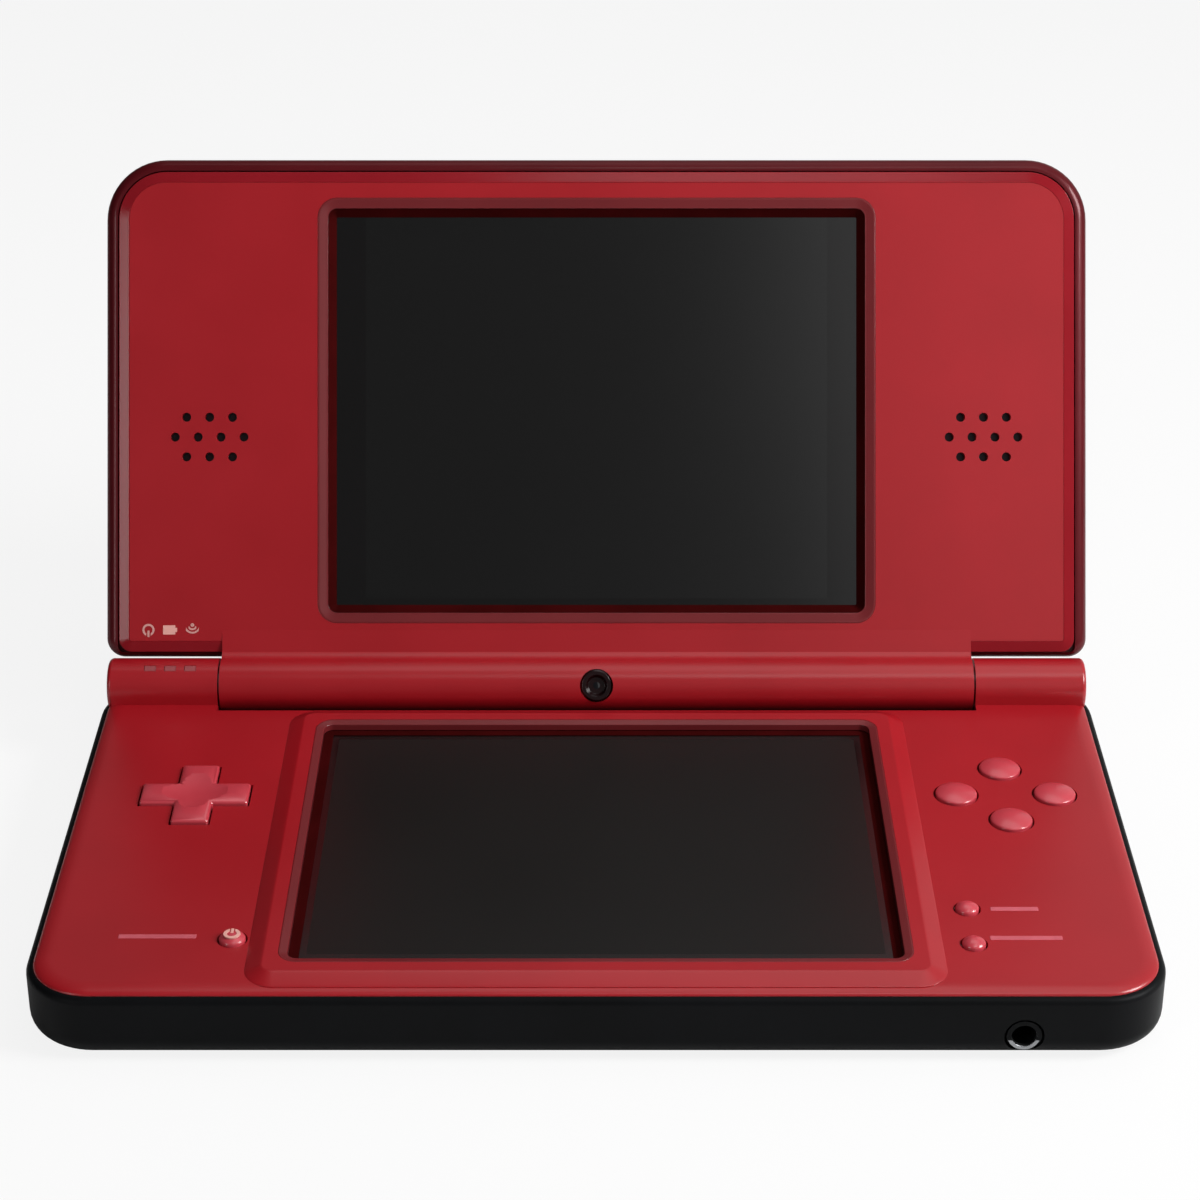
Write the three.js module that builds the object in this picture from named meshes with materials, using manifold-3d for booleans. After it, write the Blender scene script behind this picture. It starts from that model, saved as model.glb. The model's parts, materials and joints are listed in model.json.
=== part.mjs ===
import * as THREE from 'three';
import { mergeVertices } from 'three/addons/utils/BufferGeometryUtils.js';
import Module from 'manifold-3d';

// A clamshell handheld game console, open, in millimetres, +Z up, front towards -Y.
// The console is laid out closed: x is 0 in the middle, y is 0 half way from front to back
// and z is 0 at the height of the hinge axis. The lid is then turned open about that axis.

// Overall sizes
const bodyWidth = 161;
const bodyDepth = 91.4;
const lidThickness = 8.4;
const partingGap = 0.4;
const footHeight = 0.6;
const openDegrees = 117.4;

// Fits that many pieces share
const slideGap = 0.3;
const seatGap = 0.1;
const overrun = 2;

// Roundness, as counts
const cornerSteps = 4;
const edgeSteps = 3;
const smallSides = 16;
const holeSides = 8;
const barrelSides = 36;

// Outline
const cornerRadius = 10;
const lidBackCornerRadius = 3;
const baseLowerEdge = 3.2;
const lidUpperEdge = 2.6;

// Hinge
const hingeSetback = 5.1;
const barrelRadius = 4.4;
const barrelClearance = 0.5;
const knuckleWidth = 18.9;
const barrelEdge = 0.7;
const clutchRadius = 2.6;
const clutchReach = 8;
const lidBackToAxis = 5;
const webDrop = 0.6;

// Base shells
const wellDrop = 1.1;
const topShellWall = 1.2;
const skirtHeight = 0.8;
const skirtRun = 3.6;
const bottomShellWall = 1.6;
const bottomShellFloor = 1.4;
const underBoardSpace = 4.9;
const channelFloor = 0.8;
const channelWall = 1.2;

// Lower screen and its raised frame
const keyFieldWidth = 37;
const lowerFrontMargin = 8;
const lowerBackMargin = 7.4;
const recessCornerRadius = 1.5;
const frameBand = 3.2;
const frameSlope = 2.6;
const frameLip = 1.3;
const screenLap = 1.2;
const touchPanelThickness = 1.1;
const lowerDisplayThickness = 1.9;
const displayToBoard = 0.2;

// Upper screen
const speakerFieldWidth = 36.5;
const upperFreeMargin = 8.2;
const upperRecessToAxis = 11.8;
const bezelThickness = 1.7;
const lidRim = 2;
const lidBackRim = 0.8;
const lidSkin = 1.5;
const lidRimDrop = 0.5;
const bezelEdge = 0.4;
const borderBand = 2.7;
const borderDepth = 0.35;
const windowThickness = 0.9;
const upperDisplayThickness = 2.2;

// Speakers and their grilles
const speakerToSide = 17.1;
const speakerToAxis = 40.6;
const grillePitch = 3.75;
const grilleHoleRadius = 0.75;
const grilleRows = [3, 4, 3];
const speakerRadius = 9;
const speakerThickness = 3.6;
const speakerMagnetRadius = 5.4;
const speakerMagnetThickness = 1.2;

// Cameras
const innerCameraRadius = 2.7;
const innerCameraSink = 0.5;
const innerCameraDepth = 2.6;
const innerLensRadius = 1.3;
const innerLensDepth = 0.5;
const outerCameraToSide = 12.5;
const outerCameraToEdge = 10.3;
const outerCameraRadius = 3.6;
const outerWindowThickness = 0.8;
const outerApertureRadius = 2.2;
const outerModuleRadius = 3.2;

// Main board
const boardToSide = 4.5;
const boardToFront = 9.2;
const boardToChannel = 2.7;
const boardThickness = 0.8;

// Rubber contact mats
const matThickness = 0.6;

// Direction pad
const padToSide = 18.7;
const padToHinge = 32.8;
const padSpan = 16.6;
const padArm = 5.7;
const padEdge = 0.5;
const padFlangeRadius = 7.6;
const padFlangeThickness = 0.7;
const padFlangeDrop = 0.5;
const padRidge = 1.2;
const padMatRadius = 9;

// Face buttons
const faceToSide = 17.4;
const faceToHinge = 32.5;
const faceSpread = 7.6;
const faceRadius = 3.2;
const faceMatRadius = 12;

// Small round buttons
const menuToSide = 26.8;
const selectToFront = 12.8;
const menuPitch = 9;
const menuRadius = 1.7;
const powerToSide = 28.7;
const powerToFront = 14;
const powerRadius = 1.9;
const menuMatMargin = 3.1;
const powerMatRadius = 3;

// Every button cap
const buttonProud = 1;
const buttonDome = 0.5;
const buttonFlange = 0.7;
const buttonFlangeThickness = 0.6;
const buttonFlangeDrop = 0.2;

// Shoulder buttons
const shoulderInset = 0.6;
const shoulderLength = 9.7;
const shoulderWall = 2.6;
const shoulderTopDrop = 4.8;
const shoulderTravel = 1;
const shoulderPivotInset = 2;
const shoulderPivotRadius = 1.8;

// Volume rocker
const rockerToHinge = 28.6;
const rockerLength = 12;
const rockerHeight = 3;
const rockerInset = 0.1;
const rockerDepth = 2.9;
const rockerFlange = 1;
const rockerFlangeThickness = 0.9;

// Memory card door and connector
const doorToShoulder = 1.6;
const doorLap = 1.1;
const doorToFloor = 0.55;
const doorThickness = 1.4;
const cardSlotLength = 24.2;
const cardSlotHeight = 2.3;
const cardConnectorDepth = 33;
const cardConnectorRim = 1.2;
const cardConnectorWall = 0.6;
const cardSlotDepth = 31;

// Stylus
const stylusHeadroom = 0.4;
const stylusLength = 96;
const stylusTipLength = 3;
const stylusTipRadius = 0.7;
const stylusHeadLength = 3;
const stylusGrooveDepth = 0.3;
const stylusGrooveLength = 1;
const channelRib = 0.8;

// Battery and its cover
const batteryX = -9;
const batteryWidth = 50;
const batteryToFront = 8.7;
const batteryToChannel = 0.9;
const batteryEdge = 1;
const coverWing = 6;
const coverLap = 1.6;
const coverThickness = 0.8;
const coverCorner = 3;

// Game card bay, at the back
const bayWidth = 34;
const bayDepth = 31;
const bayRail = 0.8;
const bayRoof = 0.4;
const bayBlockDepth = 5.6;

// Headphone jack, at the front, and charging port, at the back
const jackToSide = 20.8;
const jackBoreRadius = 1.8;
const jackCollarRadius = 2.5;
const jackBodyWidth = 7;
const jackBodyDepth = 11;
const portToBay = 12;
const portWidth = 7.4;
const portWall = 0.9;
const portBodyDepth = 8;

// Screws and feet
const caseScrewToSide = 9.5;
const caseScrewToFront = 8.2;
const caseScrewToConnector = 1.9;
const caseScrewToChannel = 3.6;
const caseScrewHeadRadius = 1.9;
const caseScrewHeadThickness = 0.9;
const caseScrewShankRadius = 0.85;
const caseBossRadius = 3;
const topBossRadius = 2.2;
const topBossLength = 3.5;
const coverScrewHeadRadius = 1.4;
const coverScrewHeadThickness = 0.35;
const coverScrewShankRadius = 0.7;
const coverScrewLength = 3;
const coverBossRadius = 2.2;
const socketWidth = 0.5;
const socketDepth = 0.4;
const footRadius = 3.6;
const footPocket = 0.4;
const footToSide = 22.5;
const footToFront = 8.1;
const footToBack = 8.7;

// Indicator lights in the left knuckle
const lightToSide = 7.9;
const lightPitch = 3.25;
const lightCount = 3;
const lightWidth = 1.8;
const lightLength = 1;
const lightDepth = 1.1;
const lightForward = 1.7;

// Heights and places worked out from the sizes above
const halfWidth = bodyWidth / 2;
const frontY = -bodyDepth / 2;
const backY = bodyDepth / 2;
const hingeY = backY - hingeSetback;
const baseTop = -partingGap / 2;
const wellTop = baseTop - wellDrop;
const wellUnder = wellTop - topShellWall;
const seamZ = wellTop - skirtHeight;
const lipUnder = baseTop - frameLip;
const knuckleX = halfWidth - knuckleWidth;
const lidBarrelX = knuckleX - slideGap;
const channelTop = -barrelRadius - barrelClearance;
const channelUnder = channelTop - channelFloor;
const channelFront = hingeY - barrelRadius - barrelClearance;
const touchTop = lipUnder - seatGap;
const touchUnder = touchTop - touchPanelThickness;
const lowerDisplayTop = touchUnder - seatGap;
const topBossLow = wellUnder - topBossLength;
const boardTop = lowerDisplayTop - lowerDisplayThickness - displayToBoard;
const boardUnder = boardTop - boardThickness;
const floorTop = boardUnder - underBoardSpace;
const baseBottom = floorTop - bottomShellFloor;
const underBoardZ = boardUnder - underBoardSpace / 2;
const matTop = boardTop + seatGap + matThickness;
const innerFront = frontY + bottomShellWall;
const innerBack = backY - bottomShellWall;
const innerHalfWidth = halfWidth - bottomShellWall;
const lidFace = partingGap / 2;
const lidTop = lidFace + lidThickness;
const lidUnderSkin = lidTop - lidSkin;
const lidSkirtZ = lidFace + lidRimDrop;
const lidFrontY = frontY - hingeY;
const lidBackY = -lidBackToAxis;
const bezelTop = lidFace + bezelThickness;
const bezelInset = lidRim + slideGap;
const lowerRecessX = halfWidth - keyFieldWidth;
const lowerRecessFront = frontY + lowerFrontMargin;
const lowerRecessBack = channelFront - lowerBackMargin;
const upperRecessX = halfWidth - speakerFieldWidth;
const upperRecessFront = lidFrontY + upperFreeMargin;
const webHeight = barrelRadius - webDrop;
const speakerX = halfWidth - speakerToSide;
const innerCameraFace = barrelRadius - innerCameraSink;
const boardHalfWidth = halfWidth - boardToSide;
const boardFront = frontY + boardToFront;
const boardBack = channelFront - boardToChannel;
const padX = padToSide - halfWidth;
const padY = hingeY - padToHinge;
const faceX = halfWidth - faceToSide;
const faceY = hingeY - faceToHinge;
const menuX = halfWidth - menuToSide;
const selectY = frontY + selectToFront;
const startY = selectY + menuPitch;
const powerX = powerToSide - halfWidth;
const powerY = frontY + powerToFront;
const shoulderInnerX = knuckleX + shoulderInset;
const shoulderFrontY = backY - shoulderLength;
const rockerY = hingeY - rockerToHinge;
const rockerZ = (seamZ + floorTop) / 2;
const doorLength = cardSlotLength + doorLap * 2;
const doorHeight = underBoardSpace - doorToFloor * 2;
const doorY = shoulderFrontY - shoulderTravel - doorToShoulder - doorLength / 2;
const cardMouthX = halfWidth - doorThickness - cardConnectorRim;
const cardConnectorX = cardMouthX - cardConnectorDepth;
const cardConnectorFront = doorY - cardSlotLength / 2 - cardConnectorWall;
const bayFront = innerBack - bayDepth;
const stylusRadius = (underBoardSpace - seatGap - stylusHeadroom) / 2;
const stylusZ = floorTop + seatGap + stylusRadius;
const stylusNeckRadius = stylusRadius - stylusGrooveDepth;
const channelHalf = stylusRadius + slideGap + channelRib;
const stylusY = Math.min(bayFront - bayBlockDepth, cardConnectorFront) - slideGap - channelHalf;
const batteryFront = frontY + batteryToFront;
const batteryBack = stylusY - channelHalf - batteryToChannel;
const bayTop = boardUnder - seatGap - bayRoof;
const jackX = halfWidth - jackToSide;
const portX = bayWidth / 2 + portToBay;
const portHeight = underBoardSpace - seatGap - portWall * 2;
const caseScrewFrontX = halfWidth - caseScrewToSide;
const caseScrewFrontY = frontY + caseScrewToFront;
const caseScrewBackX = cardConnectorX - caseBossRadius - caseScrewToConnector;
const caseScrewBackY = channelFront - caseScrewToChannel;
const footX = halfWidth - footToSide;
const footFrontY = frontY + footToFront;
const footBackY = backY - footToBack;
const lightFirstX = lightToSide - halfWidth;

const wasm = await Module();
wasm.setup();

// A closed solid from a three.js geometry
function solid(geometry) {
  geometry.deleteAttribute('normal');
  geometry.deleteAttribute('uv');
  const merged = mergeVertices(geometry);
  const corners = merged.index.array;
  const kept = [];
  for (let i = 0; i < corners.length; i += 3) {
    const [a, b, c] = [corners[i], corners[i + 1], corners[i + 2]];
    if (a !== b && b !== c && c !== a) kept.push(a, b, c);
  }
  const vertProperties = new Float32Array(merged.attributes.position.array);
  return new wasm.Manifold(new wasm.Mesh({ numProp: 3, vertProperties, triVerts: new Uint32Array(kept) }));
}

function join(...solids) {
  return solids.reduce((whole, next) => whole.add(next));
}

function cut(whole, ...tools) {
  return tools.reduce((left, tool) => left.subtract(tool), whole);
}

// A box between two corners
function block(left, right, front, back, low, high) {
  const geometry = new THREE.BoxGeometry(right - left, back - front, high - low);
  geometry.translate((left + right) / 2, (front + back) / 2, (low + high) / 2);
  return solid(geometry);
}

// An upright round bar
function disc(x, y, radius, low, high, sides = smallSides) {
  const geometry = new THREE.CylinderGeometry(radius, radius, high - low, sides);
  geometry.rotateX(Math.PI / 2);
  geometry.translate(x, y, (low + high) / 2);
  return solid(geometry);
}

// A round bar along X
function barAcross(left, right, y, z, radius, sides = smallSides) {
  const geometry = new THREE.CylinderGeometry(radius, radius, right - left, sides);
  geometry.rotateZ(-Math.PI / 2);
  geometry.translate((left + right) / 2, y, z);
  return solid(geometry);
}

// A round bar along Y
function barBack(x, front, back, z, radius, sides = smallSides) {
  const geometry = new THREE.CylinderGeometry(radius, radius, back - front, sides);
  geometry.translate(x, (front + back) / 2, z);
  return solid(geometry);
}

// A turned solid about an upright axis; its profile is [radius, height] points from low to high
function turned(x, y, profile, sides = smallSides) {
  const points = profile.map(([radius, height]) => new THREE.Vector2(radius, height));
  const geometry = new THREE.LatheGeometry(points, sides);
  geometry.rotateX(Math.PI / 2);
  geometry.translate(x, y, 0);
  return solid(geometry);
}

// A turned solid about an axis along X; its profile is [radius, x] points from left to right
function turnedAcross(y, z, profile, sides = smallSides) {
  const points = profile.map(([radius, along]) => new THREE.Vector2(radius, along));
  const geometry = new THREE.LatheGeometry(points, sides);
  geometry.rotateZ(-Math.PI / 2);
  geometry.translate(0, y, z);
  return solid(geometry);
}

// A rectangle with rounded corners
function rounded(left, right, front, back, frontRadius, backRadius = frontRadius) {
  const outline = new THREE.Shape();
  outline.moveTo(left + frontRadius, front);
  outline.absarc(right - frontRadius, front + frontRadius, frontRadius, -Math.PI / 2, 0);
  outline.absarc(right - backRadius, back - backRadius, backRadius, 0, Math.PI / 2);
  outline.absarc(left + backRadius, back - backRadius, backRadius, Math.PI / 2, Math.PI);
  outline.absarc(left + frontRadius, front + frontRadius, frontRadius, Math.PI, Math.PI * 1.5);
  outline.closePath();
  return outline;
}

// An outline raised between two heights
function slab(outline, low, high, steps = cornerSteps) {
  const depth = high - low;
  const geometry = new THREE.ExtrudeGeometry(outline, { depth, bevelEnabled: false, curveSegments: steps });
  geometry.translate(0, 0, low);
  return solid(geometry);
}

// The same with its lower and upper edges rounded by rise upwards and run inwards
function softSlab(outline, low, high, rise, run = rise, steps = cornerSteps) {
  const geometry = new THREE.ExtrudeGeometry(outline, {
    depth: high - low - rise - rise,
    bevelEnabled: true,
    bevelThickness: rise,
    bevelSize: run,
    bevelOffset: -run,
    bevelSegments: edgeSteps,
    curveSegments: steps,
  });
  geometry.translate(0, 0, low + rise);
  return solid(geometry);
}

// A box over the whole console, used to keep what lies between two heights
function layer(low, high) {
  return block(-bodyWidth, bodyWidth, -bodyWidth, bodyWidth, low, high);
}

const finishes = {
  redGloss: new THREE.MeshStandardMaterial({ color: 0x8a1e2a, roughness: 0.18, metalness: 0.1 }),
  redSatin: new THREE.MeshStandardMaterial({ color: 0x96242e, roughness: 0.42, metalness: 0.05 }),
  black: new THREE.MeshStandardMaterial({ color: 0x17191a, roughness: 0.55, metalness: 0 }),
  blackGloss: new THREE.MeshStandardMaterial({ color: 0x101112, roughness: 0.2, metalness: 0 }),
  screen: new THREE.MeshStandardMaterial({ color: 0x2a2829, roughness: 0.25, metalness: 0 }),
  glass: new THREE.MeshStandardMaterial({ color: 0x15161a, roughness: 0.08, metalness: 0 }),
  panel: new THREE.MeshStandardMaterial({ color: 0x3c3d40, roughness: 0.5, metalness: 0.1 }),
  board: new THREE.MeshStandardMaterial({ color: 0x1f5a3a, roughness: 0.6, metalness: 0 }),
  steel: new THREE.MeshStandardMaterial({ color: 0xa9abae, roughness: 0.35, metalness: 1 }),
  rubber: new THREE.MeshStandardMaterial({ color: 0x3a3a3c, roughness: 0.85, metalness: 0 }),
  battery: new THREE.MeshStandardMaterial({ color: 0x55585c, roughness: 0.5, metalness: 0.1 }),
  light: new THREE.MeshStandardMaterial({ color: 0xd9c9a8, roughness: 0.3, metalness: 0 }),
};

function piece(name, shape, finish) {
  const { vertProperties, triVerts } = shape.getMesh();
  const geometry = new THREE.BufferGeometry();
  geometry.setAttribute('position', new THREE.BufferAttribute(vertProperties, 3));
  geometry.setIndex(new THREE.BufferAttribute(triVerts, 1));
  geometry.computeVertexNormals();
  const mesh = new THREE.Mesh(geometry, finish);
  mesh.name = name;
  return mesh;
}

// The screens' recesses, grown or shrunk all round
function lowerRecess(grow, radius = recessCornerRadius) {
  const x = lowerRecessX + grow;
  return rounded(-x, x, lowerRecessFront - grow, lowerRecessBack + grow, radius);
}

function upperRecess(grow, radius = recessCornerRadius) {
  const x = upperRecessX + grow;
  return rounded(-x, x, upperRecessFront - grow, grow - upperRecessToAxis, radius);
}

// The console's outline, drawn in by a wall
function bodyOutline(inset) {
  const x = halfWidth - inset;
  return rounded(-x, x, frontY + inset, backY - inset, cornerRadius - inset);
}

// The bottom shell's outer form, drawn in by a gap, which the pieces in its sides follow
function baseBlank(inset) {
  const low = baseBottom + inset;
  return softSlab(bodyOutline(inset), low, bodyDepth, baseLowerEdge).intersect(layer(low, seamZ - seatGap));
}

// Middle stretch where the lid's barrel lies in the base
function barrelSpace() {
  return block(-knuckleX, knuckleX, channelFront, backY + overrun, channelTop, overrun);
}

const caseScrews = [
  ['front_left', -caseScrewFrontX, caseScrewFrontY],
  ['front_right', caseScrewFrontX, caseScrewFrontY],
  ['back_left', -caseScrewBackX, caseScrewBackY],
  ['back_right', caseScrewBackX, caseScrewBackY],
];

const feet = [
  ['front_left', -footX, footFrontY],
  ['front_right', footX, footFrontY],
  ['back_left', -footX, footBackY],
  ['back_right', footX, footBackY],
];

const coverHalfWidth = batteryWidth / 2 + slideGap + coverWing;
const coverScrewX = coverHalfWidth - coverScrewHeadRadius - coverThickness;
const coverScrewY = (batteryFront + batteryBack) / 2;
const coverScrewTop = baseBottom + coverThickness + coverScrewLength;
const coverBossTop = coverScrewTop + bottomShellFloor;
const coverScrews = [
  ['left', batteryX - coverScrewX],
  ['right', batteryX + coverScrewX],
];

const faceButtons = [
  ['right', faceX + faceSpread, faceY],
  ['bottom', faceX, faceY - faceSpread],
  ['top', faceX, faceY + faceSpread],
  ['left', faceX - faceSpread, faceY],
];

const smallButtons = [
  ['start_button', menuX, startY, menuRadius],
  ['select_button', menuX, selectY, menuRadius],
  ['power_button', powerX, powerY, powerRadius],
];

// Hinge

// A stretch along X on the given side, from inner to outer
function span(side, inner, outer) {
  return side < 0 ? [-outer, -inner] : [inner, outer];
}

// One knuckle of the base, cut back where it stands inside the bottom shell's wall
function knuckle(side) {
  const profile = [
    [0, side * knuckleX],
    [barrelRadius, side * knuckleX],
    [barrelRadius, side * (halfWidth - barrelEdge)],
    [barrelRadius - barrelEdge, side * halfWidth],
    [0, side * halfWidth],
  ];
  if (side < 0) profile.reverse();
  const barrel = turnedAcross(hingeY, 0, profile, barrelSides);
  const [left, right] = span(side, knuckleX, halfWidth - barrelEdge);
  const foot = block(left, right, hingeY - barrelRadius, hingeY + barrelRadius, wellUnder, 0);
  const shapedFoot = foot.intersect(slab(bodyOutline(0), wellUnder, 0));
  const inside = slab(bodyOutline(bottomShellWall + slideGap), channelTop, seamZ + seatGap);
  const room = join(inside, layer(seamZ, bodyWidth));
  return join(barrel, shapedFoot).intersect(room);
}

function clutchBore(side) {
  const [left, right] = span(side, knuckleX - overrun, knuckleX + clutchReach + slideGap);
  return barAcross(left, right, hingeY, 0, clutchRadius + slideGap);
}

function hingeClutch(side) {
  const [left, right] = span(side, lidBarrelX - clutchReach, knuckleX + clutchReach);
  return barAcross(left, right, hingeY, 0, clutchRadius);
}

// Slots for the lights run from above into the left knuckle
function lightSpace(index, clearance) {
  const x = lightFirstX + index * lightPitch;
  const y = hingeY - lightForward;
  const wide = lightWidth / 2 + clearance;
  const long = lightLength / 2 + clearance;
  const low = barrelRadius - lightDepth - clearance;
  return block(x - wide, x + wide, y - long, y + long, low, barrelRadius + overrun);
}

function indicatorLight(index) {
  const barrel = barAcross(-halfWidth, -knuckleX, hingeY, 0, barrelRadius, barrelSides);
  return lightSpace(index, 0).intersect(barrel);
}

// Base top shell

// The direction pad's outline as a cross, with a clearance all round
function crossOutline(clearance) {
  const long = padSpan / 2 + clearance;
  const short = padArm / 2 + clearance;
  const corners = [
    [short, -long], [short, -short], [long, -short], [long, short], [short, short], [short, long],
    [-short, long], [-short, short], [-long, short], [-long, -short], [-short, -short], [-short, -long],
  ];
  return new THREE.Shape(corners.map(([x, y]) => new THREE.Vector2(padX + x, padY + y)));
}

// The raised frame round the lower screen, sloping down to the wells at its sides
function screenFrame() {
  const outline = lowerRecess(frameBand + frameSlope, frameBand + frameSlope);
  const mound = softSlab(outline, wellTop - wellDrop, baseTop, wellDrop, frameSlope);
  return mound.intersect(layer(wellUnder, baseTop));
}

function buttonHoles() {
  const holes = faceButtons.map(([, x, y]) => [x, y, faceRadius]);
  for (const [, x, y, radius] of smallButtons) holes.push([x, y, radius]);
  return holes.map(([x, y, radius]) => {
    return disc(x, y, radius + slideGap, wellUnder - overrun, baseTop + overrun, smallSides);
  });
}

function baseTopShell() {
  const rim = softSlab(bodyOutline(0), seamZ - skirtHeight, wellTop, skirtHeight, skirtRun);
  const skin = rim.intersect(layer(seamZ, wellTop));
  const plate = slab(bodyOutline(bottomShellWall + slideGap), wellUnder, seamZ + seatGap);
  let shell = cut(join(skin, plate, screenFrame()), barrelSpace());
  const bosses = caseScrews.map(([, x, y]) => disc(x, y, topBossRadius, topBossLow, wellUnder + seatGap));
  shell = join(shell, knuckle(-1), knuckle(1), ...bosses);
  const touchPocket = slab(lowerRecess(screenLap + slideGap), wellUnder - overrun, lipUnder);
  const opening = slab(lowerRecess(0), wellUnder - overrun, baseTop + overrun);
  const padHole = slab(crossOutline(slideGap), wellUnder - overrun, baseTop + overrun);
  shell = cut(shell, touchPocket, opening, padHole, clutchBore(-1), clutchBore(1), ...buttonHoles());
  for (const [, x, y] of caseScrews) {
    shell = cut(shell, disc(x, y, caseScrewShankRadius + slideGap, topBossLow - overrun, wellUnder));
  }
  for (let i = 0; i < lightCount; i += 1) shell = cut(shell, lightSpace(i, seatGap));
  return shell;
}

// Base bottom shell

// The shoulder buttons' places at the back corners, with a clearance
function shoulderSpace(side, clearance) {
  const [left, right] = span(side, shoulderInnerX - clearance, halfWidth + overrun);
  const front = clearance > 0 ? shoulderFrontY - shoulderTravel : shoulderFrontY;
  const low = floorTop + seatGap + seatGap - clearance;
  return block(left, right, front, backY + overrun, low, -shoulderTopDrop + clearance);
}

function channelBlock() {
  const floor = block(-knuckleX, knuckleX, channelFront - channelWall, backY, channelUnder, channelTop);
  const wall = block(
    -knuckleX, knuckleX, channelFront - channelWall, channelFront, channelUnder, wellUnder - seatGap,
  );
  return join(floor, wall).intersect(slab(bodyOutline(0), channelUnder, 0));
}

function rockerSpace(clearance) {
  const long = rockerLength / 2 + clearance;
  const tall = rockerHeight / 2 + clearance;
  const outer = clearance > 0 ? halfWidth + overrun : halfWidth - rockerInset;
  const inner = halfWidth - rockerDepth;
  return block(-outer, -inner, rockerY - long, rockerY + long, rockerZ - tall, rockerZ + tall);
}

function doorSpace(clearance) {
  const long = doorLength / 2 + clearance;
  const tall = doorHeight / 2 + clearance;
  const outer = clearance > 0 ? halfWidth + overrun : halfWidth;
  const inner = halfWidth - doorThickness - clearance - clearance;
  return block(inner, outer, doorY - long, doorY + long, underBoardZ - tall, underBoardZ + tall);
}

function batteryOutline(grow, radius = coverCorner) {
  const x = batteryWidth / 2 + grow;
  return rounded(batteryX - x, batteryX + x, batteryFront - grow, batteryBack + grow, radius);
}

function coverOutline(grow) {
  const x = coverHalfWidth + grow;
  const y = slideGap + coverLap + grow;
  return rounded(batteryX - x, batteryX + x, batteryFront - y, batteryBack + y, coverCorner);
}

// A block round the charging port's mouth, grown by a wall
function portBlock(grow, front, back) {
  const half = portWidth / 2 + grow;
  const tall = portHeight / 2 + grow;
  return block(portX - half, portX + half, front, back, underBoardZ - tall, underBoardZ + tall);
}

// What the bottom shell is cut through by
function bottomOpenings() {
  const bayHalf = bayWidth / 2;
  const jackHole = jackCollarRadius + slideGap;
  const jack = barBack(jackX, frontY - overrun, innerFront + overrun, underBoardZ, jackHole);
  const inBack = innerBack - overrun;
  const outBack = backY + overrun;
  return [
    slab(batteryOutline(slideGap, batteryEdge), baseBottom - overrun, floorTop + overrun),
    slab(coverOutline(slideGap), baseBottom - overrun, baseBottom + coverThickness + seatGap),
    block(-bayHalf, bayHalf, inBack, outBack, floorTop, bayTop),
    portBlock(portWall, inBack, outBack),
    jack,
    rockerSpace(slideGap),
    doorSpace(slideGap),
    shoulderSpace(-1, slideGap),
    shoulderSpace(1, slideGap),
    barAcross(innerHalfWidth - overrun, halfWidth + overrun, stylusY, stylusZ, stylusRadius + slideGap),
  ];
}

// The stylus lies in an open channel on the floor
function stylusChannel() {
  const back = halfWidth - stylusLength - slideGap;
  const end = innerHalfWidth + seatGap;
  const [front, rear] = [stylusY - channelHalf, stylusY + channelHalf];
  const ribs = block(back, end, front, rear, floorTop - seatGap, stylusZ);
  const groove = barAcross(back - overrun, end + overrun, stylusY, stylusZ, stylusRadius + slideGap);
  return cut(ribs, groove);
}

function baseBottomShell() {
  const hollow = slab(bodyOutline(bottomShellWall), floorTop, seamZ + overrun);
  let shell = cut(baseBlank(0), hollow, barrelSpace());
  const bosses = caseScrews.map(([, x, y]) => {
    return disc(x, y, caseBossRadius, floorTop - seatGap, topBossLow - seatGap);
  });
  const coverBosses = coverScrews.map(([, x]) => {
    return disc(x, coverScrewY, coverBossRadius, floorTop - seatGap, coverBossTop);
  });
  shell = join(shell, channelBlock(), ...bosses, ...coverBosses);
  shell = join(cut(shell, ...bottomOpenings()), stylusChannel());
  for (const [, x, y] of caseScrews) {
    const shank = disc(x, y, caseScrewShankRadius + slideGap, baseBottom - overrun, wellUnder);
    const headTop = baseBottom + caseScrewHeadThickness + slideGap + seatGap;
    shell = cut(shell, shank, disc(x, y, caseScrewHeadRadius + slideGap, baseBottom - overrun, headTop));
  }
  for (const [, x] of coverScrews) {
    const bore = coverScrewShankRadius + slideGap;
    shell = cut(shell, disc(x, coverScrewY, bore, baseBottom, coverScrewTop + slideGap));
  }
  for (const [, x, y] of feet) {
    shell = cut(shell, disc(x, y, footRadius + slideGap, baseBottom - overrun, baseBottom + footPocket));
  }
  return shell;
}

// Screws, feet and the battery

// A screw with its head below, a cross socket in the head and a shank upwards
function screw(x, y, headRadius, headThickness, shankRadius, low, length) {
  const head = disc(x, y, headRadius, low, low + headThickness);
  const shank = disc(x, y, shankRadius, low + seatGap, low + headThickness + length, holeSides);
  const half = socketWidth / 2;
  const reach = headRadius / 2 + half;
  const slotDepth = Math.min(socketDepth, headThickness / 2);
  const across = block(x - reach, x + reach, y - half, y + half, low - overrun, low + slotDepth);
  const along = block(x - half, x + half, y - reach, y + reach, low - overrun, low + slotDepth);
  return cut(join(head, shank), across, along);
}

function caseScrew(x, y) {
  const low = baseBottom + slideGap;
  const length = wellUnder - seatGap - low - caseScrewHeadThickness - topShellWall;
  return screw(x, y, caseScrewHeadRadius, caseScrewHeadThickness, caseScrewShankRadius, low, length);
}

function coverScrew(x) {
  const length = coverScrewLength - coverScrewHeadThickness;
  const [head, thickness, shank] = [coverScrewHeadRadius, coverScrewHeadThickness, coverScrewShankRadius];
  return screw(x, coverScrewY, head, thickness, shank, baseBottom, length);
}

function foot(x, y) {
  return disc(x, y, footRadius, baseBottom - footHeight, baseBottom + footPocket - seatGap);
}

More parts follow.
